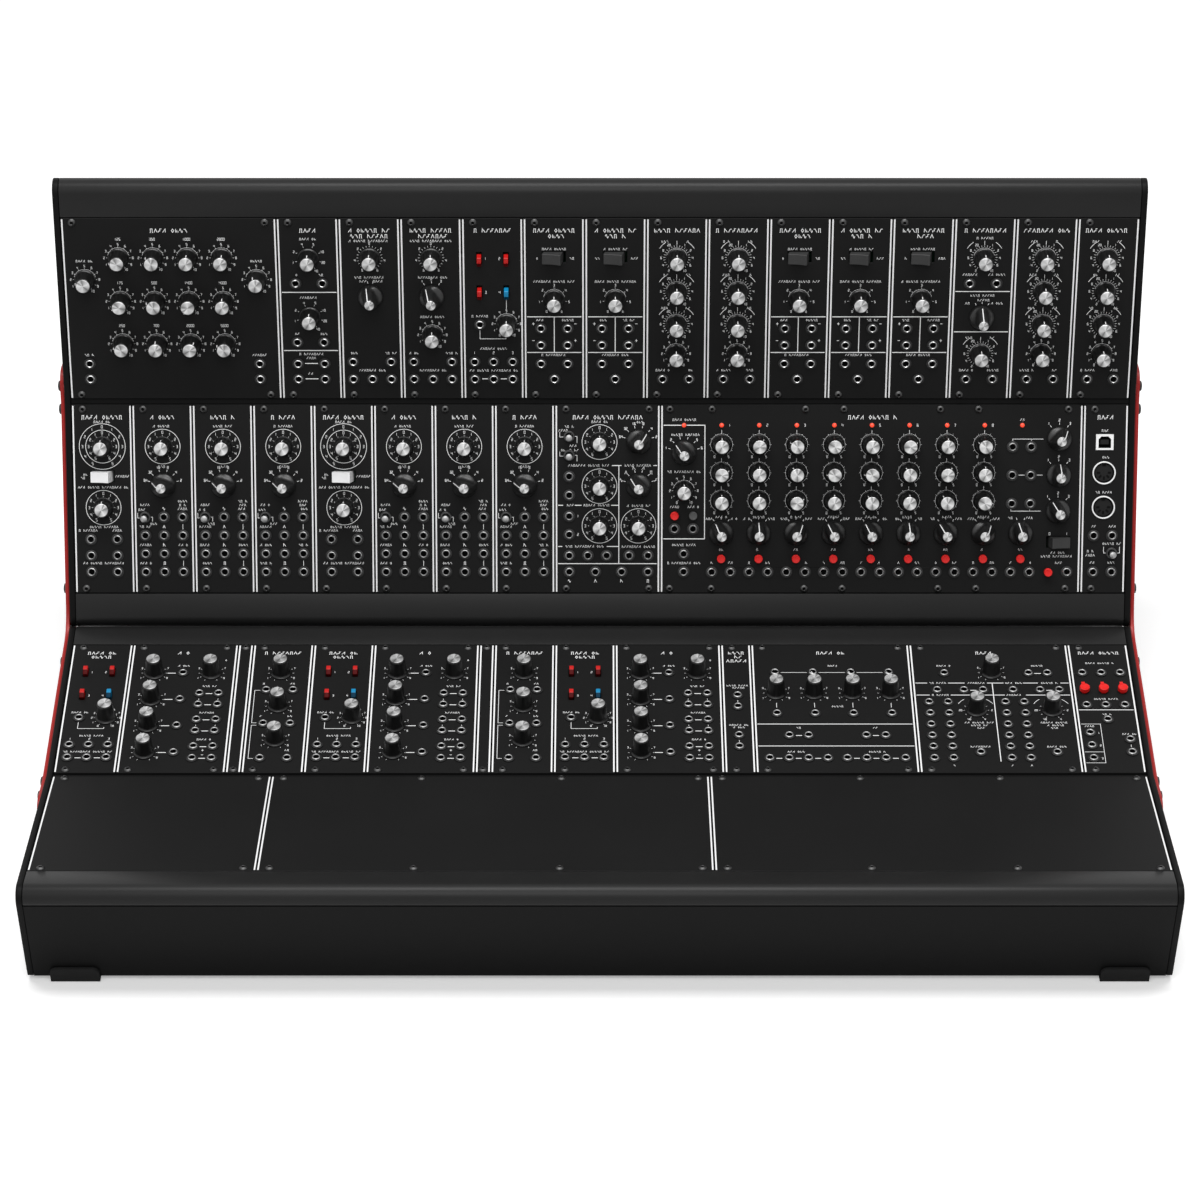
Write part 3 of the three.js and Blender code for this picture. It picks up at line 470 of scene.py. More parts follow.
def extrudedPiece(name, outline, ends, matrix, look, slot, node, bevel=0.0):
    # a side view (y, z) drawn out along X between two ends
    count = len(outline)
    verts = np.array([(x, y, z) for x in ends for y, z in outline])
    faces = [tuple(range(count)), tuple(range(2 * count - 1, count - 1, -1))]
    faces += [(i, (i + 1) % count, count + (i + 1) % count, count + i) for i in range(count)]
    made = bpy.data.meshes.new(name)
    made.from_pydata((verts @ matrix[:3, :3].T + matrix[:3, 3]) * mm, [], faces)
    work = bmesh.new()
    work.from_mesh(made)
    bmesh.ops.recalc_face_normals(work, faces=work.faces)
    if bevel:
        rims = [e for e in work.edges if e.calc_face_angle(0) > math.radians(rimAngle)]
        bmesh.ops.bevel(work, geom=rims, offset=bevel * mm, segments=2, profile=0.5, affect="EDGES")
    work.to_mesh(made)
    work.free()
    finishMesh(made, smoothAngle)
    return place(made, [look], slot, "frame", [node])


# Case: fasciae with their round bend, pans with folded corners, cheeks, link plates and feet
def fasciaOutline(side):
    start = rack["height"] + case["seam"]
    inner = case["sheet"] + case["clear"]
    wall = case["fascia"]
    points = [rowPoint(side, start, 0)] + bendPoints(side, case["bend"])
    points += [wallPoint(side, wallLength, -inner), wallPoint(side, wallLength - case["tongue"], -inner)]
    points += [wallPoint(side, wallLength - case["tongue"], -inner - wall)]
    points += bendPoints(side, case["bend"] - inner - wall)[::-1]
    points += [
        rowPoint(side, start + wall, inner + wall), rowPoint(side, start + wall, case["depth"]),
        rowPoint(side, rack["height"] - case["reach"], case["depth"]),
        rowPoint(side, rack["height"] - case["reach"], rack["thick"] + case["clear"]),
        rowPoint(side, start, rack["thick"] + case["clear"]),
    ]
    return points


def foldPoints(corner, before, after, radius, steps=6):
    # a corner rounded with the given reach, as a quadratic curve
    start = corner + (before - corner) / np.linalg.norm(before - corner) * radius
    end = corner + (after - corner) / np.linalg.norm(after - corner) * radius
    t = np.linspace(0, 1, steps)[:, None]
    return list((1 - t) ** 2 * start + 2 * t * (1 - t) * corner + t**2 * end)


def panOutline():
    top = wallLength - case["wallSeam"]
    sheet, fold = case["sheet"], case["fold"]
    outer = [wallPoint(-1, top, 0), np.array([-baseHalf, 0.0]), np.array([baseHalf, 0.0]), wallPoint(1, top, 0)]
    inner = [
        wallPoint(1, top, -sheet), np.array([baseHalf - sheet, sheet]), np.array([sheet - baseHalf, sheet]),
        wallPoint(-1, top, -sheet),
    ]
    points = []
    for wall, radius in ((outer, fold), (inner, fold - sheet)):
        points += [wall[0]] + foldPoints(wall[1], wall[0], wall[2], radius)
        points += foldPoints(wall[2], wall[1], wall[3], radius) + [wall[3]]
    return points


def cheekOutline():
    middle = np.array([0.0, case["valley"] - case["gap"] / 2 * tiltSin / tiltCos])
    left, right = np.array([-baseHalf, 0.0]), np.array([baseHalf, 0.0])
    front, rear = [bendPoints(side, case["bend"]) for side in (-1, 1)]
    corners = foldPoints(left, front[-1], right, case["corner"]) + foldPoints(right, left, rear[-1], case["corner"])
    return corners + rear[::-1] + [middle] + front


link = {
    "inset": 5.0, "reach": 27.0, "stackReach": 17.0, "arm": 42.0, "tip": 12.0, "corner": 14.0, "heel": 60.0,
    "wall": 2.6, "gap": 0.6, "spread": 6.5, "depth": 12.1, "edge": 0.7, "edgeDepth": 14.5, "bevel": 0.5, "steps": 12,
}


def toStack(point):
    return turnedUp(point) + stackFoot


def rowLine(side, depth):
    # two points of a line under a row of the flat case
    return [rowPoint(side, 0, depth), rowPoint(side, rack["height"], depth)]


def stackLine(side, depth):
    return [toStack(point) for point in rowLine(side, depth)]


def meet(a, b):
    # where two lines of two points each cross
    u, v = a[1] - a[0], b[1] - b[0]
    t = np.cross(b[0] - a[0], v) / np.cross(u, v)
    return a[0] + t * u


def linkOutline():
    inset, tip = link["inset"], link["tip"]
    outer = inset + link["arm"]
    corners = [
        (rowPoint(-1, link["reach"], inset), tip),
        (meet(rowLine(-1, inset), rowLine(1, inset)), tip),
        (meet(rowLine(1, inset), stackLine(-1, inset)), link["corner"]),
        (meet(stackLine(-1, inset), stackLine(1, inset)), tip),
        (toStack(rowPoint(1, link["stackReach"], inset)), tip),
        (toStack(rowPoint(1, link["stackReach"], outer)), tip),
        (meet(stackLine(-1, outer), rowLine(1, outer)), link["heel"]),
        (rowPoint(-1, link["reach"], outer), tip),
    ]
    points = []
    for i, (corner, radius) in enumerate(corners):
        after = corners[(i + 1) % len(corners)][0]
        points += foldPoints(corner, corners[i - 1][0], after, radius, link["steps"])
    return points


def stackScrews(side):
    # side-view places of a case's three stacking screws, two in the valley and one at the edge of a row
    inner = link["spread"] - case["gap"] / 2
    return [
        rowPoint(1, inner, link["depth"]), rowPoint(-1, inner, link["depth"]),
        rowPoint(side, rack["height"] - link["edge"], link["edgeDepth"]),
    ]


cheekInside = halfRow + case["clear"]
cheekOutside = cheekInside + case["cheek"]
linkInside = cheekOutside + link["gap"]
linkOutside = linkInside + link["wall"]
depths = {"front": -1, "rear": 1}
hands = {"left": -1, "right": 1}
bevels = {"fascia": 0.35, "cheek": 0.6}

for name, matrix in caseFrames.items():
    span = (-halfRow, halfRow)
    for where, side in depths.items():
        node = f"{name}_{where}_fascia"
        outline = fasciaOutline(side)
        extrudedPiece(
            node + "_extrusion", outline, span, matrix, "fasciaCoat", "fascia_sheet", node, bevels["fascia"],
        )
    extrudedPiece(f"{name}_folded_pan", panOutline(), span, matrix, "caseCoat", "case_sheet", f"{name}_pan")
    for hand, end in hands.items():
        node = f"{name}_{hand}_cheek"
        ends = (end * cheekInside, end * cheekOutside)
        extrudedPiece(
            node + "_plate", cheekOutline(), ends, matrix, "caseCoat", "case_sheet", node, bevels["cheek"],
        )

for hand, end in hands.items():
    ends = (end * linkInside, end * linkOutside)
    node = f"{hand}_link_plate"
    extrudedPiece(node + "_cut", linkOutline(), ends, lowerFrame, "linkCoat", "link_plate", node, link["bevel"])

# Stacking screws: a domed head with a round recess, turned to point outwards
stackingScrew = {"head": 3.7, "height": 1.9, "recess": 1.6, "depth": 1.1, "shank": 2.0, "root": -3.2, "sides": 20}


def stackingScrewForm():
    s = stackingScrew
    rings = [
        (0, s["root"]), (s["shank"], s["root"]), (s["shank"], 0), (s["head"], 0), (s["head"], 0.5),
        (s["head"] * 0.86, s["height"] * 0.8), (s["recess"] * 1.15, s["height"]), (s["recess"], s["height"] - 0.1),
        (s["recess"], s["height"] - s["depth"]), (0, s["height"] - s["depth"]),
    ]
    return turnedForm(rings, s["sides"])


screwForms = []
for end in hands.values():
    outwards = shift(end * (linkOutside + case["clear"]), 0, 0)
    outwards[:3, :3] = [[0, 0, end], [0, 1, 0], [-end, 0, 0]]
    spots = [lowerFrame @ shift(0, *p) for p in stackScrews(1)] + [upperFrame @ shift(0, *p) for p in stackScrews(-1)]
    screwForms += [moved(stackingScrewForm(), spot @ outwards) for spot in spots]
makePiece("stacking_screws", joinForms(screwForms), np.eye(4), ["rockerPlastic"], "case_sheet")

# Power inlets in the rear walls: a flange, a nut and a pin in its bore, whose wall and floor are near black as painted
# shade
inlet = {
    "right": 120.0, "up": 15.0, "sides": 32,
    "rings": [
        (0, -1.2), (4.2, -1.2), (4.2, 0), (8.4, 0), (8.4, 0.3), (8.2, 0.45), (5.4, 0.45), (5.4, 1.0), (5.1, 1.2),
        (3.3, 1.2), (3.1, 1.0), (3.1, 0.1), (0.95, 0.1), (0.95, 0.9), (0.7, 1.1), (0, 1.1),
    ],
    "looks": [0] * 6 + [1] * 5 + [2, 2, 3, 3],
    "finishes": ["rockerPlastic", "knobPlastic", "darkHollow", "nickel"],
}
inletForm = turnedForm(inlet["rings"], inlet["sides"], inlet["looks"])
outwards = shift(inlet["right"], *wallPoint(1, inlet["up"] / leanCos, 0))
outwards[:3, :3] = [[-1, 0, 0], [0, leanSin, leanCos], [0, leanCos, -leanSin]]
inletForms = [moved(inletForm, matrix @ outwards) for matrix in caseFrames.values()]
makePiece("power_inlets", joinForms(inletForms), np.eye(4), inlet["finishes"], "case_sheet")

foot = {
    "height": 3.0, "length": 30.0, "width": 31.0, "wrap": 10.0, "wall": 2.0, "inset": 14.7, "corner": 4.5,
    "ease": 0.4, "chamfer": 0.7, "steps": 7, "turn": 80, "sharp": 50,
}


def footOutline(side, wrap):
    clear, wall, ease, chamfer = case["clear"], foot["wall"], foot["ease"], foot["chamfer"]
    heel = side * (baseHalf - foot["length"])

    def toe(out, height):
        return side * (baseHalf + (out - height * leanSin) / leanCos)

    return np.array([
        (heel, -clear), (toe(clear, clear), -clear), wallPoint(side, wrap, clear),
        wallPoint(side, wrap, clear + wall - ease), wallPoint(side, wrap - ease, clear + wall),
        (toe(clear + wall, foot["height"] - chamfer), chamfer - foot["height"]),
        (toe(clear + wall, foot["height"]) - side * chamfer, -foot["height"]), (heel, -foot["height"]),
    ])


def footForm(side, middle):
    # side views carried along X, and towards each end the lip drops along most of a quarter circle: r (1 - cos t)
    t = np.radians(np.linspace(0, foot["turn"], foot["steps"]))
    half, corner = foot["width"] / 2, foot["corner"]
    offsets = half - corner + corner * np.sin(t)
    wraps = foot["wrap"] - corner * (1 - np.cos(t))
    rings = [(x, footOutline(side, wrap)) for x, wrap in zip(offsets, wraps)]
    rings = [(-x, ring) for x, ring in rings[::-1]] + rings
    pole = np.array([side * (baseHalf + foot["wall"] / 2), -foot["height"] / 2])
    closing = np.tile(pole, (len(rings[0][1]), 1))
    levels = [(rings[0][0], closing), *rings, (rings[-1][0], closing)]
    grid = [np.column_stack([np.full(len(ring), middle + x), ring]) for x, ring in levels]
    return sheetForm(np.array(grid), closed=True)


for where, side in depths.items():
    for hand, end in hands.items():
        node = f"{where}_{hand}_foot"
        form = footForm(side, end * (cheekOutside - foot["inset"] - foot["width"] / 2))
        makePiece(node + "_pad", form, lowerFrame, ["footRubber"], "foot_rubber", nodes=[node], sharp=foot["sharp"])

for name in caseFrames:
    for part, look in (("centre_rail", "caseCoat"), ("power_board", "boardGreen")):
        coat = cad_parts[f"{name}_{part}"].data.materials
        coat.clear()
        coat.append(finishes[look])
print("case made")

# Control places as shares of a module's width and of the faceplate's height
middle = [0.5]
pair = [0.281, 0.719]
triple = [0.1875, 0.5, 0.8125]
outer = [0.1875, 0.8125]


def spots(across, up):
    return [(a, u) for u in up for a in across]


stages = [0.145 + 0.0889 * i for i in range(9)]
steps = stages[:8]
stepJack = 0.0223
places = {
    "filterBank": {
        "knobs": spots([0.261, 0.421, 0.581, 0.741], [0.784, 0.545, 0.309]) + spots([0.1, 0.9], [0.665]),
        "jacks": spots([0.1, 0.9], [0.199, 0.113]),
    },
    "twinFilter": {"knobs": spots(middle, [0.782, 0.46]), "jacks": spots(pair, [0.645, 0.319, 0.199, 0.113])},
    "highPass": {
        "knobs": spots(middle, [0.784]), "selectors": spots(middle, [0.572]),
        "jacks": spots(outer, [0.21]) + spots(triple, [0.113]),
    },
    "lowPass": {
        "knobs": spots(middle, [0.784, 0.359]), "selectors": spots(middle, [0.572]),
        "jacks": spots(outer, [0.21]) + spots(triple, [0.113]),
    },
    "controlVoltages": {
        "knobs": [(0.719, 0.421)], "levers": spots(pair, [0.78, 0.597]),
        "jacks": [(0.281, 0.418)] + spots(triple, [0.21, 0.113]),
    },
    "amplifier": {
        "knobs": spots(middle, [0.556]), "rockers": spots(middle, [0.788]),
        "jacks": spots(pair, [0.396, 0.303, 0.199]) + spots(middle, [0.113]),
    },
    "envelope": {"knobs": spots(middle, [0.784, 0.6, 0.419, 0.254]), "jacks": spots(pair, [0.113])},
    "triggerDelay": {
        "knobs": spots(middle, [0.784, 0.254]), "selectors": spots(middle, [0.458]),
        "jacks": spots(pair, [0.645, 0.113]),
    },
    "oscillatorDriver": {
        "knobs": spots(middle, [0.779, 0.455]), "rockers": spots(middle, [0.62]),
        "jacks": spots(pair, [0.287, 0.2, 0.113]),
    },
    "oscillator": {
        "knobs": spots(middle, [0.779]), "selectors": spots(middle, [0.575]), "toggles": [(0.1875, 0.405)],
        "jacks": spots([0.5, 0.8125], [0.405]) + spots(triple, [0.307, 0.21, 0.113]),
    },
    "wideOscillator": {
        "knobs": spots([0.424], [0.803, 0.569, 0.358]) + [(0.794, 0.358)], "selectors": spots([0.794], [0.806, 0.571]),
        "toggles": spots([0.136], [0.833, 0.733]),
        "jacks": spots([0.136], [0.621, 0.521, 0.41, 0.312]) + spots([0.136, 0.313, 0.491, 0.705, 0.884], [0.2])
        + spots([0.136, 0.384, 0.634, 0.884], [0.113]),
    },
    "sequencer": {
        "knobs": [(0.056, 0.545)] + spots(steps, [0.789, 0.64, 0.491]),
        "selectors": [(0.056, 0.747)] + spots(stages, [0.32]) + spots([0.944], [0.822, 0.629, 0.436]),
        "rockers": [(0.946, 0.271)], "lamps": spots([0.056] + stages, [0.892]),
        "buttons": spots([0.034, 0.078], [0.414]) + spots(stages, [0.185]) + [(0.923, 0.113)],
        "jacks": spots([0.034, 0.078], [0.342]) + spots([0.056], [0.209, 0.113])
        + [(a + d, 0.112) for a in stages for d in (-stepJack, stepJack)]
        + spots([0.834, 0.878], [0.778, 0.628, 0.477]) + [(0.968, 0.113)],
    },
    "midiInterface": {
        "toggles": [(0.69, 0.213)], "jacks": spots([0.281, 0.69], [0.307, 0.113]),
        "squareSockets": [(0.485, 0.803)], "roundSockets": spots([0.485], [0.64, 0.457]),
    },
    "mixer": {
        "knobs": spots([0.236], [0.772, 0.564, 0.359, 0.153]) + [(0.772, 0.772)],
        "jacks": spots([0.505], [0.772, 0.564, 0.359, 0.153])
        + spots([0.681, 0.86], [0.61, 0.522, 0.405, 0.318, 0.198, 0.109]),
    },
    "attenuators": {"knobs": spots(middle, [0.772, 0.511, 0.247]), "jacks": spots(pair, [0.636, 0.374, 0.109])},
    "noise": {"jacks": spots(middle, [0.595, 0.507, 0.285, 0.198])},
    "wideAttenuators": {
        "knobs": spots([0.145, 0.382, 0.62, 0.858], [0.614]),
        "jacks": spots([0.145, 0.382, 0.62, 0.858], [0.776, 0.453]) + spots([0.214, 0.333, 0.689, 0.808], [0.283])
        + spots([0.087, 0.206, 0.325, 0.443, 0.562, 0.681, 0.799, 0.918], [0.109]),
    },
    "interface": {
        "knobs": [(0.501, 0.776)] + spots([0.383, 0.852], [0.479]),
        "jacks": spots([0.206, 0.734, 0.852], [0.77]) + spots([0.152, 0.319, 0.438, 0.625, 0.794, 0.913], [0.636])
        + spots([0.095, 0.213, 0.569, 0.686], [0.541, 0.454, 0.367, 0.281, 0.196, 0.109])
        + spots([0.383, 0.852], [0.153]),
    },
    "sequentialSwitch": {
        "buttons": spots(triple, [0.63]),
        "jacks": spots(triple, [0.772, 0.518]) + spots(middle, [0.405]) + spots([0.183], [0.303, 0.207, 0.109])
        + spots([0.817], [0.252, 0.155]),
    },
    "blank": {},
}
places["controller"] = places["controlVoltages"]

# The rows of faceplates from the left, each group under the node that it stands for
rowPlan = [
    ("upper", 1, [
        ("filter_bank_module", [("filterBank", 28)]),
        ("filter_modules", [("twinFilter", 8), ("highPass", 8), ("lowPass", 8), ("controlVoltages", 8)]),
        ("left_amplifier_modules", [("amplifier", 8), ("amplifier", 8), ("envelope", 8), ("envelope", 8)]),
        ("right_amplifier_modules", [("amplifier", 8)] * 3 + [("triggerDelay", 8)] + [("envelope", 8)] * 2),
    ]),
    ("upper", -1, [
        ("left_oscillator_modules", [("oscillatorDriver", 8)] + [("oscillator", 8)] * 3),
        ("right_oscillator_modules", [("oscillatorDriver", 8)] + [("oscillator", 8)] * 3),
        ("wide_oscillator_module", [("wideOscillator", 14)]),
        ("sequencer_module", [("sequencer", 56)]),
        ("midi_module", [("midiInterface", 6)]),
    ]),
    ("lower", 1, [
        ("left_mixer_modules", [("controller", 8), ("mixer", 14), ("blank", 2), ("attenuators", 8)]),
        ("centre_mixer_modules", [("controller", 8), ("mixer", 14), ("blank", 2), ("attenuators", 8)]),
        ("right_mixer_modules", [("controller", 8), ("mixer", 14), ("noise", 4)]),
        ("attenuator_module", [("wideAttenuators", 21)]),
        ("interface_module", [("interface", 21)]),
        ("sequential_switch_module", [("sequentialSwitch", 8)]),
    ]),
    ("lower", -1, [
        ("left_blank_panel", [("blank", 28)]),
        ("middle_blank_panel", [("blank", 56)]),
        ("right_blank_panel", [("blank", 56)]),
    ]),
]

# Controls that are bodies of their own: group, module, kind and place in that module's list
moving = {
    "low_pass_cutoff_knob": ("filter_modules", 2, "knobs", 0),
    "low_pass_range_selector": ("filter_modules", 2, "selectors", 0),
    "red_voltage_lever": ("filter_modules", 3, "levers", 0),
    "blue_voltage_lever": ("filter_modules", 3, "levers", 3),
    "amplifier_mode_rocker": ("left_amplifier_modules", 0, "rockers", 0),
    "amplifier_level_knob": ("left_amplifier_modules", 0, "knobs", 0),
    "envelope_attack_knob": ("left_amplifier_modules", 2, "knobs", 0),
    "envelope_decay_knob": ("left_amplifier_modules", 2, "knobs", 1),
    "envelope_sustain_knob": ("left_amplifier_modules", 2, "knobs", 2),
    "envelope_release_knob": ("left_amplifier_modules", 2, "knobs", 3),
    "driver_frequency_knob": ("left_oscillator_modules", 0, "knobs", 0),
    "driver_step_rocker": ("left_oscillator_modules", 0, "rockers", 0),
    "oscillator_frequency_knob": ("left_oscillator_modules", 1, "knobs", 0),
    "oscillator_range_selector": ("left_oscillator_modules", 1, "selectors", 0),
    "oscillator_sync_toggle": ("left_oscillator_modules", 1, "toggles", 0),
    "sequencer_level_knob": ("sequencer_module", 0, "knobs", 1),
    "sequencer_stage_selector": ("sequencer_module", 0, "selectors", 1),
    "sequencer_set_button": ("sequencer_module", 0, "buttons", 2),
    "sequencer_start_button": ("sequencer_module", 0, "buttons", 0),
    "sequencer_timing_rocker": ("sequencer_module", 0, "rockers", 0),
    "midi_mode_toggle": ("midi_module", 0, "toggles", 0),
    "mixer_level_knob": ("left_mixer_modules", 1, "knobs", 0),
}
movingAt = {place: name for name, place in moving.items()}

knob = {
    "skirt": 6.9, "shoulder": 6.1, "top": 5.0, "cap": 4.5, "height": 13.3, "lift": 0.3, "shaft": 3.0, "foot": -13.7,
    "sides": 36, "flutes": 12, "flute": 0.05, "pointer": 0.21,
}


def shaftForm(top):
    # a control's shaft, which runs down behind the faceplate
    return turnedForm([(0, knob["foot"]), (knob["shaft"], knob["foot"]), (knob["shaft"], top), (0, top)], 8)


def pointerForms(path, half, out, up):
    # a white bar along a path (y, z) over a control's shoulder, and its two closing ends
    raised = np.array([
        [(-half, y + out, z + up), (half, y + out, z + up), (half, y - 0.3, z - 0.2), (-half, y - 0.3, z - 0.2)]
        for y, z in path
    ])
    ends = (raised[[0, -1]].reshape(-1, 3), np.array([[0, 1, 2, 3], [7, 6, 5, 4]]), np.full(2, 2))
    return [sheetForm(raised, 2, closed=True), ends]


def knobForm():
    # a fluted barrel on a skirt, a spun cap let into its top, and a white pointer over the shoulder
    k = knob
    body = turnedForm([
        (0, k["lift"]), (k["skirt"], k["lift"]), (k["skirt"] + 0.05, 0.9), (k["skirt"] - 0.5, 1.35),
        (k["shoulder"], 1.9), (k["shoulder"] - 0.05, 2.6), (k["top"] + 0.35, 11.2), (k["top"] + 0.05, 12.3),
        (k["cap"] + 0.15, 12.75), (0, 12.75),
    ], k["sides"], 0, k["flutes"], k["flute"], (5, 6))
    cap = turnedForm([
        (k["cap"], 12.6), (k["cap"], 13.05), (k["cap"] - 0.25, k["height"]), (0, k["height"] - 0.1),
    ], 24, 1)
    path = [(k["top"] - 0.1, 12.66), (k["top"] + 0.12, 12.3), (k["top"] + 0.36, 11.2), (k["top"] + 0.48, 9.8)]
    return joinForms([body, cap, shaftForm(k["lift"] + 0.2), *pointerForms(path, k["pointer"], 0.12, 0.06)])


# A selector's body, level by level: height, half length, half width and how square its corners are
selector = {
    "cap": 3.2, "sides": 36, "pointer": 0.3,
    "levels": [
        (0.3, 8.3, 8.3, 2.0), (0.3, 8.3, 8.3, 2.0), (2.2, 8.2, 8.2, 2.0), (2.9, 7.9, 7.8, 2.0), (3.5, 7.75, 6.4, 2.1),
        (4.4, 7.6, 4.9, 2.3), (6.0, 7.1, 4.0, 2.5), (9.0, 6.1, 3.7, 2.6), (12.5, 5.0, 3.6, 2.5), (15.5, 4.1, 3.5, 2.3),
        (16.7, 3.75, 3.45, 2.1), (17.1, 3.4, 3.3, 2.0), (17.1, 0, 0, 2.0),
    ],
}


def selectorForm():
    # a round base whose outline narrows upwards to a bar: radius = (|sin/a|^n + |cos/b|^n)^(-1/n), with a along the bar
    s = selector
    angles = np.arange(s["sides"]) * 2 * math.pi / s["sides"]
    rows = []
    for i, (z, a, b, n) in enumerate(s["levels"]):
        if i == 0 or a == 0:
            radius = np.zeros(s["sides"])
        else:
            radius = (np.abs(np.sin(angles) / a) ** n + np.abs(np.cos(angles) / b) ** n) ** (-1 / n)
        rows.append(np.stack([radius * np.cos(angles), radius * np.sin(angles), np.full(s["sides"], z)], axis=-1))
    body = sheetForm(np.array(rows), closed=True)
    cap = turnedForm([(s["cap"], 16.9), (s["cap"], 17.35), (s["cap"] - 0.2, 17.6), (0, 17.55)], 20, 1)
    path = [(3.15, 17.2)] + [(a, z) for z, a, b, n in s["levels"][10:4:-1]]
    return joinForms([body, cap, shaftForm(0.6), *pointerForms(path, s["pointer"], 0.07, 0.05)])


jack = {"nut": 4.0, "ring": 2.8, "bore": 1.95, "height": 1.6, "root": -2.2, "sides": 14}


def jackForm():
    # a dark ring nut with a slim bright bush in it, round an open bore with near-black walls as painted shade
    j = jack
    neck = j["ring"] - 0.15
    return turnedForm([
        (neck, j["root"]), (neck, 0), (j["nut"], 0), (j["nut"] - 0.05, 0.75), (j["ring"], 0.9), (j["ring"], 1.15),
        (j["ring"] - 0.45, j["height"]), (j["bore"], j["height"] - 0.45), (j["bore"], j["root"]), (neck, j["root"]),
    ], j["sides"], [0, 0, 0, 0, 1, 1, 1, 2, 2])


panelScrew = {"head": 2.75, "height": 1.35, "recess": 1.05, "floor": 0.3, "sides": 12}


def panelScrewForm():
    # a dark dome with a round recess, near black inside as painted shade
    s = panelScrew
    return turnedForm([
        (0, 0), (s["head"], 0), (s["head"], 0.2), (s["head"] * 0.9, 0.62), (s["head"] * 0.7, 1.08),
        (s["recess"] * 1.15, s["height"]), (s["recess"], s["height"] - 0.15), (s["recess"] * 0.9, s["floor"]),
        (0, s["floor"]),
    ], s["sides"], [0, 0, 0, 0, 0, 0, 1, 1])


rocker = {
    "width": 12.4, "depth": 7.2, "above": 6.0, "below": 3.0, "pivot": 3.0, "opening": 15.5, "side": 0.35, "tilt": 12.0,
    "dish": 0.9, "end": 0.5, "ease": 0.3, "steps": 13,
}


def rockerForm(lean):
    # a rocker's cap whose top is dished towards its ridge, tipped about its pin
    r = rocker
    x = np.linspace(-r["width"] / 2, r["width"] / 2, r["steps"])
    top = r["above"] - r["dish"] * (1 - (np.abs(x) / (r["width"] / 2)) ** 2)
    top[[0, -1]] -= r["end"]
    y = np.array([-1, -0.93, 0.93, 1]) * r["depth"] / 2
    drop = np.array([1, 0, 0, 1]) * r["ease"]
    crown = np.array([[(a, b, t - d) for b, d in zip(y, drop)] for a, t in zip(x, top)])
    low = np.full(crown.shape, -(r["pivot"] + r["below"]))
    low[..., :2] = crown[..., :2]
    last = r["steps"] - 1
    rim = [(0, j) for j in range(4)] + [(i, 3) for i in range(1, last + 1)]
    rim += [(last, j) for j in (2, 1, 0)] + [(i, 0) for i in range(last - 1, 0, -1)]
    wall = np.array([[level[i, j] for i, j in rim] for level in (crown, low)])
    form = joinForms([sheetForm(crown), sheetForm(wall, closed=True), sheetForm(low)])
    return tipped(form, lean * r["tilt"], r["pivot"], 1)


lever = {
    "width": 2.9, "length": 7.2, "ridge": 4.6, "neck": 1.2, "neckLength": 6.0, "foot": -2.0, "pivot": 2.0, "tilt": 16.0,
    "ease": 0.25,
}


def leverForm():
    # two faces that fall away from a ridge, tipped so that the upper one lies level
    v = lever
    end, neck, ease = v["length"] / 2, v["neckLength"] / 2, v["ease"]
    edge = v["ridge"] - end * math.tan(math.radians(v["tilt"]))
    fall = (v["ridge"] - edge) / end
    half = [
        (neck, v["foot"]), (neck, v["neck"]), (end - 0.08, edge - 0.35), (end - 0.3, edge + 0.3 * fall),
        (ease, v["ridge"] - ease * fall),
    ]
    outline = half + [(-y, z) for y, z in half[::-1]]
    verts, quads, _ = prismForm(outline, v["width"] / 2, ease)
    # the faces below the ridge take the second finish, a darker copy of the lever's plastic as painted shade
    lower = (verts[quads].mean(axis=1)[:, 1] < 0).astype(int)
    return tipped((verts, quads, lower), v["tilt"], v["pivot"], 0)


def toggleForm():
    # a bat handle that swells to a round end, on a ball
    return turnedForm([
        (0, -1.8), (1.2, -1.75), (1.95, -1.0), (1.9, -0.2), (1.4, 0.6), (1.45, 2.0), (1.8, 5.0), (2.2, 7.4), (2.4, 8.3),
        (2.15, 9.1), (1.25, 9.5), (0, 9.55),
    ], 20)


def toggleNutForm():
    return turnedForm([(2.6, -0.02), (3.8, -0.02), (3.8, 1.1), (3.5, 1.4), (2.75, 1.4), (2.6, 1.25), (2.6, -0.02)], 18)


button = {"radius": 2.95, "height": 4.2, "stem": 2.0, "foot": -12.7, "under": 1.3, "sides": 24}
buttonWidths = {"usual": 0.95, "switch": 1.13}


def buttonForm(wide):
    b = button
    radius = b["radius"] * wide
    return turnedForm([
        (0, b["foot"]), (b["stem"], b["foot"]), (b["stem"], b["under"]), (radius, b["under"]),
        (radius, b["height"] - 0.35), (radius - 0.35, b["height"]), (radius - 0.8, b["height"] - 0.08),
        (0, b["height"] - 0.15),
    ], b["sides"])


def lampForm():
    # a domed lens in a ring
    return turnedForm([
        (0, -0.5), (1.75, -0.5), (1.75, 0.25), (1.5, 0.35), (1.48, 0.8), (1.2, 1.3), (0.65, 1.55), (0, 1.6),
    ], 16, [1, 1, 1, 0, 0, 0, 0])


def squareSocketForm():
    # a white frame round an opening with two cut corners, and a dark tongue in it; the opening's walls and floor are
    # near black as painted shade
    opening = [(-4.2, -4), (4.2, -4), (4.2, 0), (4.2, 2), (2.3, 3.9), (-2.3, 3.9), (-4.2, 2), (-4.2, 0)]
    rim = [(-5.9, -5.3), (5.9, -5.3), (5.9, 0), (5.9, 5.3), (3, 5.3), (-3, 5.3), (-5.9, 5.3), (-5.9, 0)]
    levels = [(rim, -2), (rim, 0.7), (opening, 0.7), (opening, -6), ([(0, 0)] * len(rim), -6)]
    grid = np.array([[(x, y, z) for x, y in ring] for ring, z in levels])
    tongue = blockForm((-2.8, -1.6, -6), (2.8, 1.6, -0.4), 2)
    return joinForms([sheetForm(grid, [0, 0, 1, 1], closed=True), tongue])


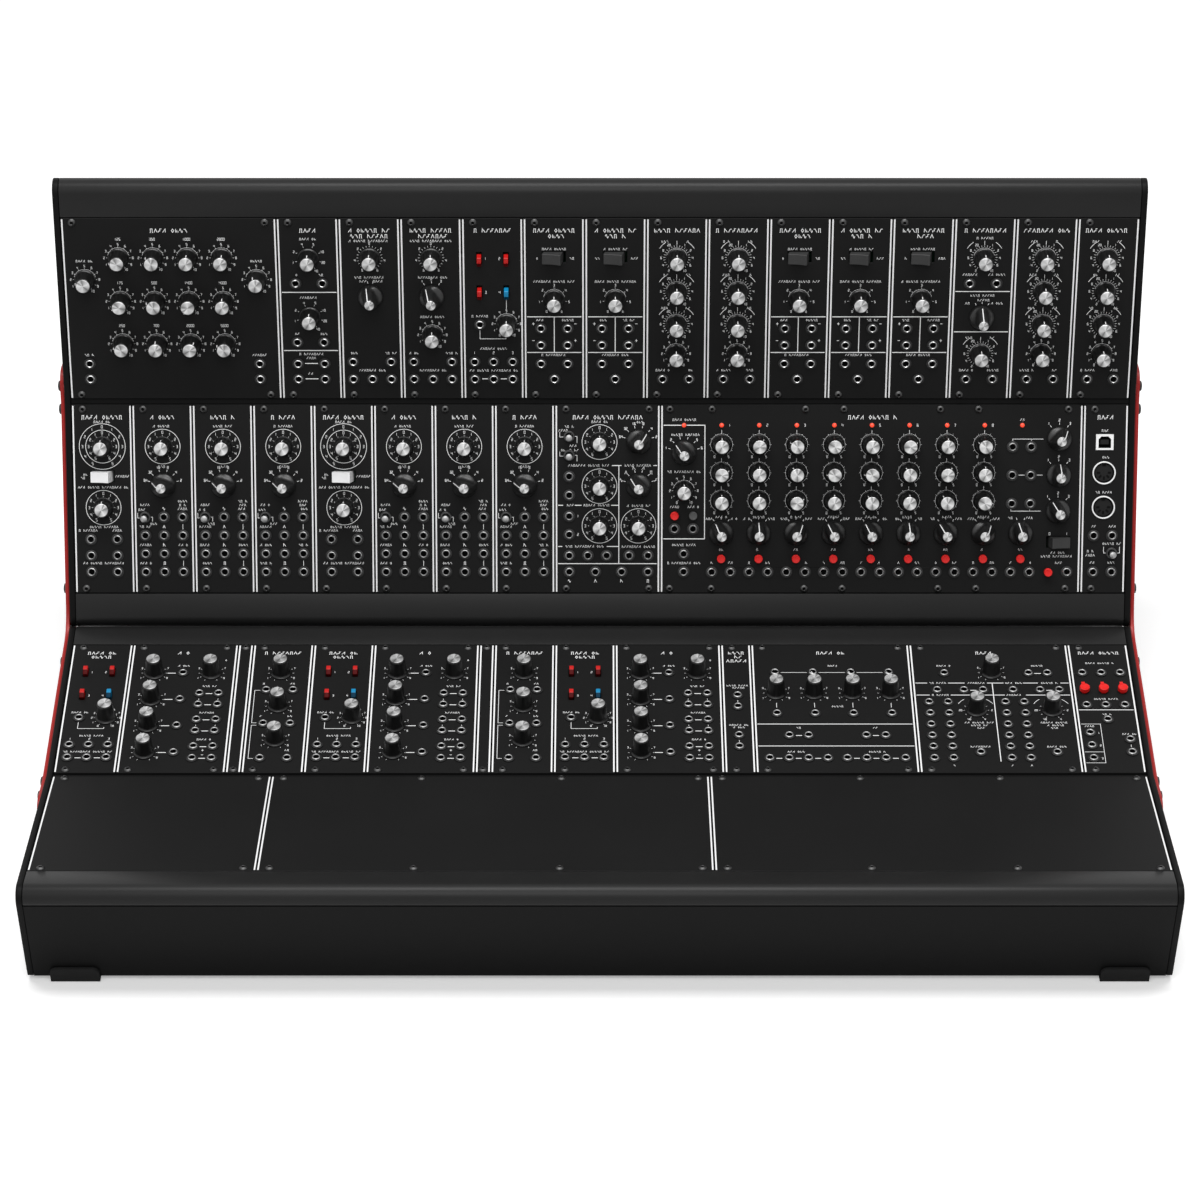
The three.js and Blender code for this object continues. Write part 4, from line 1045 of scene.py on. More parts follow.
def roundSocketForm():
    # a white ring, a gap, and a plug bed with five slots and a key; the gap, the slots and the key are near black as
    # painted shade
    ring = turnedForm([(6.95, -0.1), (7.85, -0.1), (7.85, 0.8), (7.65, 1), (7.15, 1), (6.95, 0.8), (6.95, -0.1)], 40)
    bed = turnedForm([
        (0, -5), (6.8, -5), (6.8, -0.2), (6.5, -0.2), (6.5, -3), (5.9, -3), (5.9, -0.3), (0, -0.3),
    ], 40, [1, 1, 1, 1, 1, 2, 2])
    slot, key = blockForm((2.5, -0.7, -0.5), (4.9, 0.7, -0.22), 1), blockForm((-1.2, 4.3, -0.5), (1.2, 5.9, -0.22), 1)
    return joinForms([ring, bed, key] + [turned(slot, angle) for angle in (-180, -135, -90, -45, 0)])


# Print: strokes are thin raised bands along a line of points
ink = {"top": 0.05, "root": -0.05, "mitre": 0.35}


def sideways(directions):
    return np.stack([-directions[:, 1], directions[:, 0]], axis=1)


def stroke(points, width, closed=False):
    line = np.array(points, float)
    count = len(line)
    ahead = np.roll(line, -1, axis=0) - line
    ahead /= np.linalg.norm(ahead, axis=1, keepdims=True) + 1e-12
    behind = np.roll(ahead, 1, axis=0)
    if not closed:
        ahead[-1] = behind[-1]
        behind[0] = ahead[0]
    mitre = sideways(ahead) + sideways(behind)
    mitre /= np.linalg.norm(mitre, axis=1, keepdims=True)
    reach = width / 2 / np.maximum((mitre * sideways(ahead)).sum(axis=1), ink["mitre"])
    left, right = line + mitre * reach[:, None], line - mitre * reach[:, None]
    grid = np.zeros((count, 4, 3))
    grid[:, 0, :2], grid[:, 1, :2], grid[:, 2, :2], grid[:, 3, :2] = left, right, right, left
    grid[:, :2, 2], grid[:, 2:, 2] = ink["top"], ink["root"]
    if closed:
        return sheetForm(np.concatenate([grid, grid[:1]]), closed=True)
    band = sheetForm(grid, closed=True)
    last = 4 * (count - 1)
    caps = np.array([[0, 3, 2, 1], [last, last + 1, last + 2, last + 3]])
    return band[0], np.concatenate([band[1], caps]), np.concatenate([band[2], [0, 0]])


def arc(x, y, radius, start, end, steps):
    angles = np.radians(np.linspace(start, end, steps))
    return [(x + radius * math.sin(a), y + radius * math.cos(a)) for a in angles]


def around(x, y, radius, angle):
    # the spot at one angle round a control, clockwise from straight up
    return arc(x, y, radius, angle, angle, 1)[0]


# Plain numbers, each as strokes in a box one wide and two high
digitStrokes = {
    "0": [[(0, 0), (1, 0), (1, 2), (0, 2), (0, 0)]],
    "1": [[(0.5, 0), (0.5, 2)]],
    "2": [[(0, 2), (1, 2), (1, 1), (0, 1), (0, 0), (1, 0)]],
    "3": [[(0, 2), (1, 2), (1, 0), (0, 0)], [(0.2, 1), (1, 1)]],
    "4": [[(0, 2), (0, 1), (1, 1)], [(1, 2), (1, 0)]],
    "5": [[(1, 2), (0, 2), (0, 1), (1, 1), (1, 0), (0, 0)]],
    "6": [[(1, 2), (0, 2), (0, 0), (1, 0), (1, 1), (0, 1)]],
    "7": [[(0, 2), (1, 2), (0.4, 0)]],
    "8": [[(0, 0), (1, 0), (1, 2), (0, 2), (0, 0)], [(0, 1), (1, 1)]],
    "9": [[(1, 1), (0, 1), (0, 2), (1, 2), (1, 0), (0, 0)]],
}


def number(text, x, y, height, width):
    # digits side by side, centred on a spot
    scale = height / 2
    pitch = scale * 1.55
    start = x - (pitch * (len(text) - 1) + scale) / 2
    return [
        stroke([(start + i * pitch + a * scale, y - scale + b * scale) for a, b in line], width)
        for i, letter in enumerate(text) for line in digitStrokes[letter]
    ]


# Plain signs of waves, filters and steps, in a box one wide and one high
wave = [(i / 8, 0.5 + 0.5 * math.sin(i / 4 * math.pi)) for i in range(9)]
signs = {
    "sine": [wave],
    "triangle": [[(0, 0), (0.5, 1), (1, 0)]],
    "saw": [[(0, 0), (0.1, 1), (1, 0)]],
    "pulse": [[(0, 0), (0.2, 0), (0.2, 1), (0.8, 1), (0.8, 0), (1, 0)]],
    "rampUp": [[(0, 0), (0.9, 1), (0.9, 0)]],
    "lowPass": [[(0, 0.9), (0.5, 0.9), (1, 0)]],
    "highPass": [[(0, 0), (0.5, 0.9), (1, 0.9)]],
    "steps": [[(0, 0), (0, 0.4), (0.5, 0.4), (0.5, 1), (1, 1)]],
    "diamond": [[(0.1, 0.5), (0.5, 1), (0.9, 0.5), (0.5, 0), (0.1, 0.5)]],
    "bars": [[(0.1, 0), (0.1, 1)], [(0.5, 0), (0.5, 0.65)], [(0.9, 0), (0.9, 0.35)]],
    "plus": [[(0, 0.5), (1, 0.5)], [(0.5, 0), (0.5, 1)]],
    "minus": [[(0, 0.5), (1, 0.5)]],
}
signOrder = [
    "pulse", "triangle", "steps", "rampUp", "", "diamond", "bars", "sine", "lowPass", "pulse", "", "saw", "highPass",
    "steps", "triangle",
]
signShape = {"wide": 0.82, "pitch": 1.12, "line": 0.155}


def sign(name, x, y, size, width):
    # a sign centred on a spot, a little narrower than it is high
    wide = size * signShape["wide"]
    left, low = x - wide / 2, y - size / 2
    return [stroke([(left + a * wide, low + b * size) for a, b in line], width) for line in signs[name]]


def signRow(x, y, width, size, start):
    # a row of signs, centred, with a gap after each few
    pitch = size * signShape["pitch"]
    count = max(1, round(width / pitch))
    made = []
    for i in range(count):
        name = signOrder[(start + i) % len(signOrder)]
        if name:
            made += sign(name, x + (i - (count - 1) / 2) * pitch, y, size, signShape["line"] * size)
    return made


# Dials: radii of the arc, the ticks and the numbers, and what stands round them
eleven = [str(i) for i in range(11)]
fiveToFive = eleven[5:0:-1] + eleven[:6]
dials = {
    "scale": {"arc": 7.2, "ticks": (7.3, 8.1), "ring": 9.4, "texts": eleven},
    "bank": {"arc": 7.2, "ticks": (7.3, 8.1), "ring": 9.5, "texts": [""] + eleven[1:]},
    "six": {"arc": 7.2, "ticks": (7.6, 8.5), "ring": 10.0, "texts": eleven[:7]},
    "sparse": {"ticks": (7.6, 8.6), "ring": 10.0, "texts": ["", "1", "", "3", "", "5", "", "7", "", "9", ""]},
    "low": {"ticks": (7.9, 8.9), "ring": 10.4, "texts": ["", "1", "2", "4", "5", "10", "20", "40"]},
    "seven": {"ticks": (7.5, 8.6), "fine": 21, "ring": 10.0, "texts": ["6", "4", "2", "0", "2", "4", "6"]},
    "time": {
        "arc": 7.0, "ticks": (7.6, 8.9), "fine": 25, "ring": 10.4,
        "texts": ["2", "4", "6", "8", "20", "", "1", "2", "4", "6", "10"], "hooks": 13.2,
    },
    "timeBare": {
        "ticks": (7.6, 8.6), "ring": 10.4, "texts": ["40", "", "20", "", "", "", "", "", "2", "", "4"],
        "hooks": 13.2, "bare": True,
    },
    "circle": {"rings": [11.8], "ticks": (7.1, 7.9), "ring": 9.7, "texts": fiveToFive},
    "double": {"rings": [15.5, 11.2], "ticks": (7.1, 7.7), "ring": 9.3, "texts": fiveToFive, "outside": 13.4},
    "step": {
        "arc": 7.4, "sweep": 150, "fineness": 0.13, "ticks": (7.4, 8.4), "ring": 9.5,
        "texts": ["0"] + [""] * 9 + ["5"], "lead": 9.9,
    },
}
# What dials share: angles, radii and steps of their lines, and then the lines' widths and the numbers' heights
dialShape = {"sweep": 150, "arc": 76, "hook": (34, 60), "stem": (9.2, 12), "steps": 24, "ringSteps": 49, "hookSteps": 8}
pen = {"ring": 0.34, "arc": 0.16, "tick": 0.2, "digit": 0.21, "lead": 0.3, "small": 1.5, "large": 1.8}


def dial(kind, x, y):
    look, shape = dials[kind], dialShape
    sweep, half, (low, high) = shape["sweep"], look.get("sweep", shape["arc"]), look["ticks"]
    circles = [arc(x, y, radius, 0, 360, shape["ringSteps"])[:-1] for radius in look.get("rings", [])]
    made = [stroke(points, pen["ring"], closed=True) for points in circles]
    if "arc" in look:
        made.append(stroke(arc(x, y, look["arc"], -half, half, shape["steps"]), look.get("fineness", pen["arc"])))
    for angle in np.linspace(-sweep, sweep, look.get("fine", len(look["texts"]))):
        made.append(stroke([around(x, y, r, angle) for r in (low, high)], look.get("fineness", pen["tick"])))
    size = pen["large"] if "rings" in look else pen["small"]
    for angle, text in zip(np.linspace(-sweep, sweep, len(look["texts"])), look["texts"]):
        for ring in ("ring", "outside"):
            if ring in look:
                made += number(text, *around(x, y, look[ring], angle), size, pen["digit"])
    if "hooks" in look:
        start, end = shape["hook"]
        for side in (-1, 1):
            made.append(stroke(arc(x, y, look["hooks"], side * start, side * end, shape["hookSteps"]), pen["ring"]))
        if "bare" not in look:
            made.append(stroke([(x, y + radius) for radius in shape["stem"]], pen["lead"]))
    if "lead" in look:
        made.append(stroke([(x, y + low), (x, y + look["lead"])], pen["lead"]))
    return made


# What stands at a selector's places: a tick between two radii, and a number or a sign on a third
mark = {"ticks": (9.3, 10.8), "tick": 0.36, "ring": 12.4, "sign": (2.1, 0.32), "number": (1.6, 0.3)}


def selectorMarks(x, y, angles, texts):
    made = []
    for angle, text in zip(angles, texts):
        made.append(stroke([around(x, y, radius, angle) for radius in mark["ticks"]], mark["tick"]))
        draw, size = (sign, mark["sign"]) if text in signs else (number, mark["number"])
        made += draw(text, *around(x, y, mark["ring"], angle), *size)
    return made


def level(y, *ends):
    # lines at one height, each from one x to the next
    return [[(a, y), (b, y)] for a, b in zip(ends[::2], ends[1::2])]


def upright(x, *ends):
    # lines at one x, each from one height to the next
    return [[(x, a), (x, b)] for a, b in zip(ends[::2], ends[1::2])]


# Print of each kind of module, in millimetres from its lower left corner. Titles and labels are places
# (x, y, width) for rows of signs, heavy and light are lines, marks belong to the selectors
stageAt = [41.25 + 25.29 * i for i in range(9)]
waves = ["sine", "triangle", "saw", "pulse"]
rangeTurns = [-75, -45, -15, 15, 45, 75]
rangeMarks = (rangeTurns, ["64", "32", "16", "8", "4", "2"])
edges = (2.2, 38.4)
prints = {
    "filterBank": {
        "titles": [(71, 119.8, 25)], "dials": ["bank"] * 14,
        "numbers": [
            (text, x, y)
            for y, texts in ((113.8, "125 350 1000 2800"), (83.1, "175 500 1400 4000"), (52.7, "250 700 2000 5600"))
            for x, text in zip((37.1, 59.9, 82.6, 105.4), texts.split())
        ],
        "labels": [(14.2, 98.4, 11), (128, 98.4, 12), (14.2, 31.6, 7), (128, 31.6, 9)],
    },
    "twinFilter": {
        "titles": [(20.3, 119.8, 11)], "dials": ["low", "low"],
        "labels": [
            (20.3, 113.9, 12), (11.4, 88.6, 3), (29.2, 88.6, 5), (20.3, 72.6, 13), (11.4, 46.8, 3), (29.2, 46.8, 5),
            (20.3, 32.3, 17), (20.3, 29.5, 7), (20.3, 18.2, 5),
        ],
        "heavy": level(76.4, *edges) + level(34.9, *edges) + level(25.6, 16, 24.6) + level(14.5, 16, 24.6),
    },
    "highPass": {
        "titles": [(20.3, 119.9, 29), (20.3, 115.9, 24)], "dials": ["seven"], "marks": [([-10, 10], ["", ""])],
        "labels": [
            (20.3, 112.6, 27), (20.3, 86.9, 21), (15.6, 84.2, 5), (25.2, 84.2, 6), (7.6, 33, 6), (33, 33, 8),
            (20.3, 20.6, 18),
        ],
    },
    "lowPass": {
        "titles": [(20.3, 119.9, 29), (20.3, 115.9, 23)], "dials": ["seven", "bank"],
        "marks": [([-30, 0, 30], ["1", "2", "3"])],
        "labels": [
            (20.3, 112.6, 27), (20.3, 86.9, 21), (20.3, 58.9, 16), (7.6, 33, 6), (33, 33, 8), (20.3, 20.6, 18),
        ],
    },
    "controlVoltages": {
        "titles": [(20.3, 119.9, 26)], "dials": ["scale"],
        "numbers": [
            ("1", 15.6, 100.2), ("2", 24.8, 100.2), ("3", 15.6, 76.4), ("4", 24.8, 76.4), ("1", 7.6, 33.3),
            ("2", 20.3, 33.3), ("3", 33, 33.3),
        ],
        "labels": [(11.4, 59.4, 11), (20.3, 36.2, 18), (20.3, 20.5, 32)],
        "light": upright(29.2, 72.4, 64.6) + [[(11.4, 49.5), (11.4, 43.3), (28.7, 43.3), (28.7, 44.8)]],
        "heavy": level(14.5, 12.4, 16.4, 25, 29),
    },
    "amplifier": {
        "titles": [(20.3, 119.9, 29), (20.3, 115.9, 14)], "dials": ["six"],
        "labels": [
            (20.3, 106.9, 17), (8.4, 100.3, 4), (33, 100.3, 4.5), (20.3, 84, 27), (11.4, 56.6, 6), (29.2, 56.6, 8),
            (20.3, 31.7, 18),
        ],
        "heavy": level(59, *edges) + level(33.5, *edges) + upright(20.3, 59, 33.5),
        "signs": [("plus", 6.4, 54), ("minus", 34.4, 54), ("minus", 6.4, 42), ("plus", 34.4, 42)],
    },
    "envelope": {
        "titles": [(20.3, 119.9, 30)], "dials": ["time", "time", "time", "scale"],
        "labels": [(x, y, width) for x, width in ((12.4, 4.4), (28, 3.4)) for y in (112.2, 88.7, 65.2)]
        + [(11.4, 20.7, 9), (29.2, 20.7, 4.5)],
    },
    "triggerDelay": {
        "titles": [(20.3, 119.9, 28)], "dials": ["time", "time"], "marks": [([-25, 0, 25], ["", "", ""])],
        "labels": [
            (20.3, 114.6, 12), (11.4, 88.9, 10), (29.2, 88.9, 12), (20.3, 74.1, 17), (20.3, 70.8, 10), (10.5, 68.6, 4),
            (30, 68.6, 8), (12.4, 44, 4.4), (28, 44, 3.4), (11.4, 20.7, 10), (29.2, 20.7, 12),
        ],
        "heavy": level(77, *edges) + level(48.3, *edges),
    },
    "oscillatorDriver": {
        "titles": [(20.3, 119.9, 27)], "dials": ["double", "circle"],
        "labels": [
            (20.3, 116.8, 12), (7.6, 81, 5), (7.6, 78.7, 5), (33.4, 79.8, 9), (20.3, 72.3, 34), (20.3, 45.2, 19),
            (9.5, 42.8, 13), (29.2, 42.8, 7), (20.3, 20.4, 30),
        ],
    },
    "oscillator": {
        "titles": [(20.3, 119.9, 16)], "dials": ["circle"], "marks": [rangeMarks],
        "labels": [
            (20.3, 113.9, 13), (20.3, 86.4, 7), (7.6, 60.3, 6), (5.4, 57, 5), (12.4, 47.4, 6), (7.6, 45.4, 8),
            (7.6, 32.9, 8.5), (7.6, 20.4, 8.5), (33, 62.8, 6), (33, 60.2, 5), (33, 57.6, 6), (33, 32.9, 7),
        ],
        "signs": [(name, 20.3, y) for name, y in zip(waves, (57.8, 45.4, 32.9, 20.4))],
        "light": upright(33, 47.2, 43.6, 22.2, 18.6)
        + [[(2.6, 54.8), (2.6, 51.4), (4.2, 51.4)], [(11.4, 52), (12.6, 52), (12.6, 49)]],
    },
    "wideOscillator": {
        "titles": [(35.5, 119.9, 48)], "dials": ["circle"] * 4,
        "marks": [
            rangeMarks, ([-72, -43, -14, 14, 43, 72], ["sine", "triangle", "saw", "rampUp", "pulse", "steps"]),
        ],
        "labels": [
            (30.2, 116.9, 12), (56.5, 116.7, 7), (9.7, 113.6, 7), (5.6, 111, 6), (13, 100.6, 7), (5.6, 97.6, 4),
            (13, 97.6, 7), (13, 87.2, 8), (27, 87.2, 20), (56, 87.2, 18), (9.7, 60.1, 6), (28, 60.1, 18),
            (56.5, 59.7, 17), (20, 31.9, 26), (56.5, 31.7, 23),
        ],
        "heavy": level(87.2, 38.5, 45, 66.5, 68.9) + level(60.1, 2.2, 5.5, 13.5, 18, 38, 43.2)
        + level(31.9, 2.2, 5, 35, 43.2) + level(20.1, 2.2, 68.9) + upright(43.2, 20.1, 87.2),
        "light": [
            [(3.4, 110), (3.4, 106.6), (6, 106.6)], [(13.5, 107), (15, 107), (15, 102.5)],
            [(3.4, 96.6), (3.4, 93.6), (6, 93.6)], [(13.5, 94.2), (15, 94.2), (15, 90)],
        ],
        "signs": [(name, x, 8.2) for name, x in zip(waves, (9.7, 27.3, 45.1, 62.9))],
        "numbers": [("1", 15.6, 52.7), ("2", 15.6, 40.1)],
    },
    "sequencer": {
        "titles": [(142.6, 119.9, 34)], "dials": ["scale"] + ["step"] * 24,
        "marks": [(rangeTurns, eleven[1:7])] + [([-30, 0, 30], ["", "", ""])] * 8 + [([-15, 15], ["", ""])]
        + [([-35, 0, 35], ["1", "2", "3"])] * 3,
        "numbers": [(str(i + 1), stageAt[i] + 5.4, 114.6) for i in range(8)] + [("0", 263.3, 40.6), ("1", 275, 40.6)],
        "labels": [
            (16, 118.3, 17), (16, 108.1, 21), (16, 82.9, 22), (9.7, 58.9, 7), (22.3, 58.9, 8), (16, 32.9, 17),
            (16, 20.5, 23), (243.6, 118.3, 4), (269, 27.6, 9), (269, 25.1, 22), (269, 20.6, 6.5),
        ]
        + [(x + away, y, w) for away, y, w in ((-8.2, 50.8, 4.5), (0, 52, 8), (8.6, 50.8, 5.5)) for x in stageAt[:8]]
        + [(x + away, y, w) for away, y, w in ((0, 29.7, 3.5), (-6.3, 20.7, 2), (6.3, 20.7, 4)) for x in stageAt]
        + [(237.4, 51.4, 5), (249.4, 51.4, 5.5)],
        "heavy": [[(2.2, 114.6), (30, 114.6), (30, 37.1), (2.2, 37.1)]],
        "light": [[(237.3, 103.8), (237.3, 105.2), (257.9, 105.2)]] + upright(249.9, 105.2, 104)
        + level(80.7, 241.6, 245.6, 254, 257.9) + [[(236.8, 57.6), (236.8, 56.1), (257, 56.1)]]
        + upright(249.6, 56.1, 57.4),
    },
    "midiInterface": {
        "titles": [(14.8, 119.9, 12)],
        "labels": [
            (14.8, 110.9, 5), (14.8, 92.8, 7), (14.8, 68.9, 11), (8.6, 45.6, 3), (21, 45.6, 5), (21, 33.8, 13),
            (6.6, 28.6, 5.5), (6.6, 25.8, 6.5), (8, 20.8, 3), (20.8, 20.8, 5),
        ],
        "light": [[(15.6, 31.7), (15.6, 27.4), (17, 27.4)], [(26.4, 31.7), (26.4, 27.4), (25, 27.4)]],
    },
    "mixer": {
        "titles": [(34.8, 119.9, 8)], "dials": ["sparse"] * 5,
        "labels": [(35.9, 106.7, 7.5), (54.8, 85.8, 10.5), (54.8, 59.1, 10.5), (54.8, 32.5, 10), (63, 112.4, 3.5)],
        "heavy": [[(25.6, y), (31, y)] for y in (99.2, 72.5, 46.1, 19.7)]
        + [[(52.6, y), (57, y)] for y in (78.4, 67.1, 52, 40.9, 25.4, 14)],
        "light": [[(x, y), (x, y + 1)] for x in (48.4, 61.2) for y in (72.2, 46)],
        "signs": [("plus", 54.8, 21.9), ("minus", 54.8, 17.4)],
    },
    "attenuators": {
        "titles": [(20.3, 119.9, 24)], "dials": ["sparse"] * 3,
        "labels": [(x, y, width) for y in (88.4, 55.7, 21.9) for x, width in ((9.4, 2), (28.6, 4))],
        "light": [[(7.5, 81.7), (3.8, 81.7), (3.8, 49), (7, 49)], [(7, 46.6), (3.8, 46.6), (3.8, 13.9), (7, 13.9)]],
    },
    "noise": {
        "titles": [(10.2, 119.9, 12), (10.2, 115.8, 8), (10.2, 111.7, 15)],
        "labels": [(10.2, 86.5, 14), (10.2, 84.2, 9), (10.2, 46.8, 13), (10.2, 44.5, 8)],
        "light": upright(10.2, 71.6, 70, 31.8, 30.2),
    },
    "wideAttenuators": {
        "titles": [(53.3, 119.9, 19)], "dials": ["sparse"] * 4,
        "labels": [(55, 106.7, 8), (55, 65.4, 10), (29.2, 44, 4), (79.8, 44, 4), (26.7, 20.4, 11), (79.8, 20.4, 11)],
        "light": [[(x, 99.9), (x + 21, 99.9)] for x in (19, 44.5, 70)]
        + [[(x, 69), (x, 64.4)] for x in (15.5, 40.7, 66.1, 91.5)],
        "signs": [("triangle", x, 99.9) for x in (40, 65, 90)],
        "heavy": level(47.8, 2.2, 104.5) + level(26.1, 2.2, 104.5) + level(36.4, 27.2, 31.2, 77.8, 81.8)
        + [[(x, 14), (x + 3.8, 14)] for x in (13.6, 26.3, 39, 64.3, 77, 89.7)],
    },
    "interface": {
        "titles": [(51, 119.9, 14)], "dials": ["sparse", "timeBare", "timeBare"],
        "labels": [
            (22, 106.7, 9), (84.6, 106.7, 12), (17, 89.1, 11), (42.6, 89.1, 12), (67.6, 89.1, 11), (91.5, 89.1, 12),
            (18, 76.9, 11), (67.6, 76.9, 11),
        ]
        + [(x, y, width) for x in (42, 92) for y, width in ((49.2, 19), (46.5, 11), (43.8, 6))]
        + [(x, 25.4, 13) for x in (41, 91)] + [(x, 7, 1.5) for x in (10, 22.7, 60.7, 73.2)],
        "heavy": level(89.1, 2.2, 10, 24, 35, 50, 61, 74, 84, 99, 104.5) + level(76.9, 2.2, 11, 25, 61, 75, 104.5)
        + upright(53.4, 89.1, 10.9) + level(98.9, 82.4, 86.8) + level(81.7, 38.4, 42.4, 89, 93),
    },
    "sequentialSwitch": {
        "titles": [(20.3, 119.9, 27)],
        "labels": [(20.3, 109.4, 20), (20.3, 72.9, 18), (20.3, 57.4, 6.5), (7.6, 45.6, 6), (33, 37.8, 9)],
        "numbers": [("1", 13.2, 38.9), ("2", 13.2, 26.6), ("3", 13.2, 14)],
        "heavy": level(62, *edges),
        "light": [[(2.2, 47.8), (15, 47.8), (15, 9.6), (2.2, 9.6)]] + level(20.3, 2.2, 15) + upright(33.2, 27.4, 25.2),
    },
    "blank": {},
}
prints["controller"] = prints["controlVoltages"] | {"titles": [(20.3, 119.8, 19), (20.3, 115.7, 20)]}
printSizes = {"titles": 2.5, "labels": 1.45, "heavy": 0.56, "light": 0.32, "numbers": (1.7, 0.22), "signs": (1.9, 0.34)}


# By how many signs the next module and the next row of signs start further on
signSteps = {"module": 3, "row": 4}


def printForms(kind, left, start):
    # everything that is printed on one module, but its edge lines and what goes round its controls
    plan = prints[kind]
    made = []
    for name in ("titles", "labels"):
        for i, (x, y, width) in enumerate(plan.get(name, [])):
            made += signRow(left + x, y, width, printSizes[name], start + signSteps["row"] * i)
    for name in ("heavy", "light"):
        made += [stroke([(left + x, y) for x, y in line], printSizes[name]) for line in plan.get(name, [])]
    for name, draw in (("numbers", number), ("signs", sign)):
        for text, x, y in plan.get(name, []):
            made += draw(text, left + x, y, *printSizes[name])
    return made


# How far each control is turned clockwise from straight up
turns = {
    "filterBank": {"knobs": [-90, -45, 5, 10, -110, -60, -150, 0, -80, 0, 30, -60, -80, -20]},
    "highPass": {"selectors": [-20]},
    "lowPass": {"selectors": [-30]},
    "oscillator": {"selectors": [-75]},
    "wideOscillator": {"selectors": [45, -45]},
    "sequencer": {
        "knobs": [0, -60, 30, -60, 90, 0, 60, 0, -60, 60, 0, -30, -90, -90, -30, 30, 0, 0, 0, 60, 0, -30, 0, -30, 90],
        "selectors": [-45, -30, 0, 36, -30, -30, 2, -33, 42, -12, 44, 6, -30],
    },
}


def faceplateMesh(name, plates, holes, matrix):
    # flat outlines with their holes, filled and given a thickness with a fine chamfer
    curve = bpy.data.curves.new(name, "CURVE")
    curve.dimensions = "2D"
    curve.fill_mode = "BOTH"
    chamfer = 0.3
    curve.extrude = (rack["thick"] / 2 - chamfer) * mm
    curve.bevel_depth = chamfer * mm
    curve.bevel_resolution = 0
    curve.offset = -chamfer * mm
    for loop in plates + holes:
        spline = curve.splines.new("POLY")
        spline.points.add(len(loop) - 1)
        flat = np.array([(x * mm, y * mm, 0, 1) for x, y in loop])
        spline.points.foreach_set("co", flat.ravel())
        spline.use_cyclic_u = True
    drawn = bpy.data.objects.new(name, curve)
    bpy.context.scene.collection.objects.link(drawn)
    bpy.context.view_layer.update()
    made = bpy.data.meshes.new_from_object(drawn)
    made.name = name
    bpy.data.objects.remove(drawn)
    bpy.data.curves.remove(curve)
    verts = np.zeros(len(made.vertices) * 3)
    made.vertices.foreach_get("co", verts)
    verts = verts.reshape(-1, 3) / mm - (0, 0, rack["thick"] / 2)
    verts = (verts @ matrix[:3, :3].T + matrix[:3, 3]) * mm
    made.vertices.foreach_set("co", verts.ravel())
    made.materials.clear()
    finishMesh(made, 30)
    return made


def circle(x, y, radius, sides):
    angles = np.arange(sides) * 2 * math.pi / sides
    return [(x + radius * math.cos(a), y + radius * math.sin(a)) for a in angles]


def rectangle(x, y, width, depth):
    corners = ((-1, -1), (1, -1), (1, 1), (-1, 1))
    return [(x + a * width / 2, y + b * depth / 2) for a, b in corners]


# The faceplates' openings: a radius and a number of sides, or a width and a depth
roundHoles = {
    "jacks": (2.9, 12), "knobs": (3.4, 12), "selectors": (3.4, 12), "toggles": (2.6, 14), "buttons": (2.4, 12),
    "roundSockets": (7.35, 40),
}
squareHoles = {
    "rockers": (rocker["opening"], rocker["depth"] + 2 * rocker["side"]), "levers": (3.6, 8.8),
    "squareSockets": (12.0, 10.8),
}


def holesFor(control, x, y):
    if control in roundHoles:
        return [circle(x, y, *roundHoles[control])]
    return [rectangle(x, y, *squareHoles[control])] if control in squareHoles else []


# How far along each kind of faceplate its pairs of screws lie, where it has more than the first
firstScrew = [7.6]
screwSpots = {
    "sequencer": [6.4, 34.7, 97.6, 123.4, 188.3, 214, 274.4], "filterBank": [7.6, 134.6], "wideOscillator": [7.6, 63.5],
    "mixer": [7.6, 63.5], "wideAttenuators": [7.6, 99], "interface": [7.6, 99],
}
blankScrews = {2: [rack["unit"]], 28: [8.1, 134.1], 56: [8.1, 97.6, 188.3, 277]}
screwHeights = (3, 125.5)


def panelScrewSpots(kind, left, units):
    at = blankScrews[units] if kind == "blank" else screwSpots.get(kind, firstScrew)
    return [(left + x, y) for x in at for y in screwHeights]


# each lever's plastic, and a darker copy of it on the lower faces as painted shade
leverLooks = {
    "red": (["leverRedPlastic", "deepRedPlastic"], "lever_red"),
    "blue": (["bluePlastic", "deepBluePlastic"], "lever_blue"),
}


def controlLooks(control, node, i):
    # the finishes and the material slot of one control
    if control in ("knobs", "selectors"):
        return [control[:-1] + "Plastic", "spunAluminium", "whitePrint"], "knob_plastic"
    if control == "levers":
        return leverLooks["blue" if i == 3 else "red"]
    if control == "rockers":
        return (["whitePlastic"], "rocker_white") if "oscillator" in node else (["rockerPlastic"], "rocker_black")
    if control == "buttons":
        return ["offPlastic" if node == "sequencer_module" and i == 1 else "redPlastic"], "button_red"
    return ["toggleSteel"], "toggle_metal"


fixedForms = {"knobs": knobForm(), "selectors": selectorForm(), "levers": leverForm(), "toggles": toggleForm()}


def controlForm(control, node, turn):
    if control == "rockers":
        return rockerForm(1 if "sequencer" in node else -1)
    if control == "buttons":
        if "switch" not in node:
            return buttonForm(buttonWidths["usual"])
        return joinForms([buttonForm(buttonWidths["switch"]), blockForm((-2.0, 2.2, 1.4), (0.2, 4.4, 4.4))])
    form = fixedForms[control]
    return turned(form, -turn) if turn else form


def capSpread(control, form):
    # the flat coordinates over which a spun cap's painted highlight fans out: a knob's turn with it, a fixed selector's
    # don't
    if control == "knobs":
        return fixedForms["knobs"][0] / knob["cap"]
    return form[0] / selector["cap"] if control == "selectors" else None


border = {"inset": 1.1, "end": 0.8, "width": 0.95}
board = {"inset": 1.5, "low": 12, "high": 116.5, "back": -15.6, "front": -14.0, "wall": 2, "top": -2.05}
socketBody = {"half": 3.4, "back": -10.0, "front": -2.3}


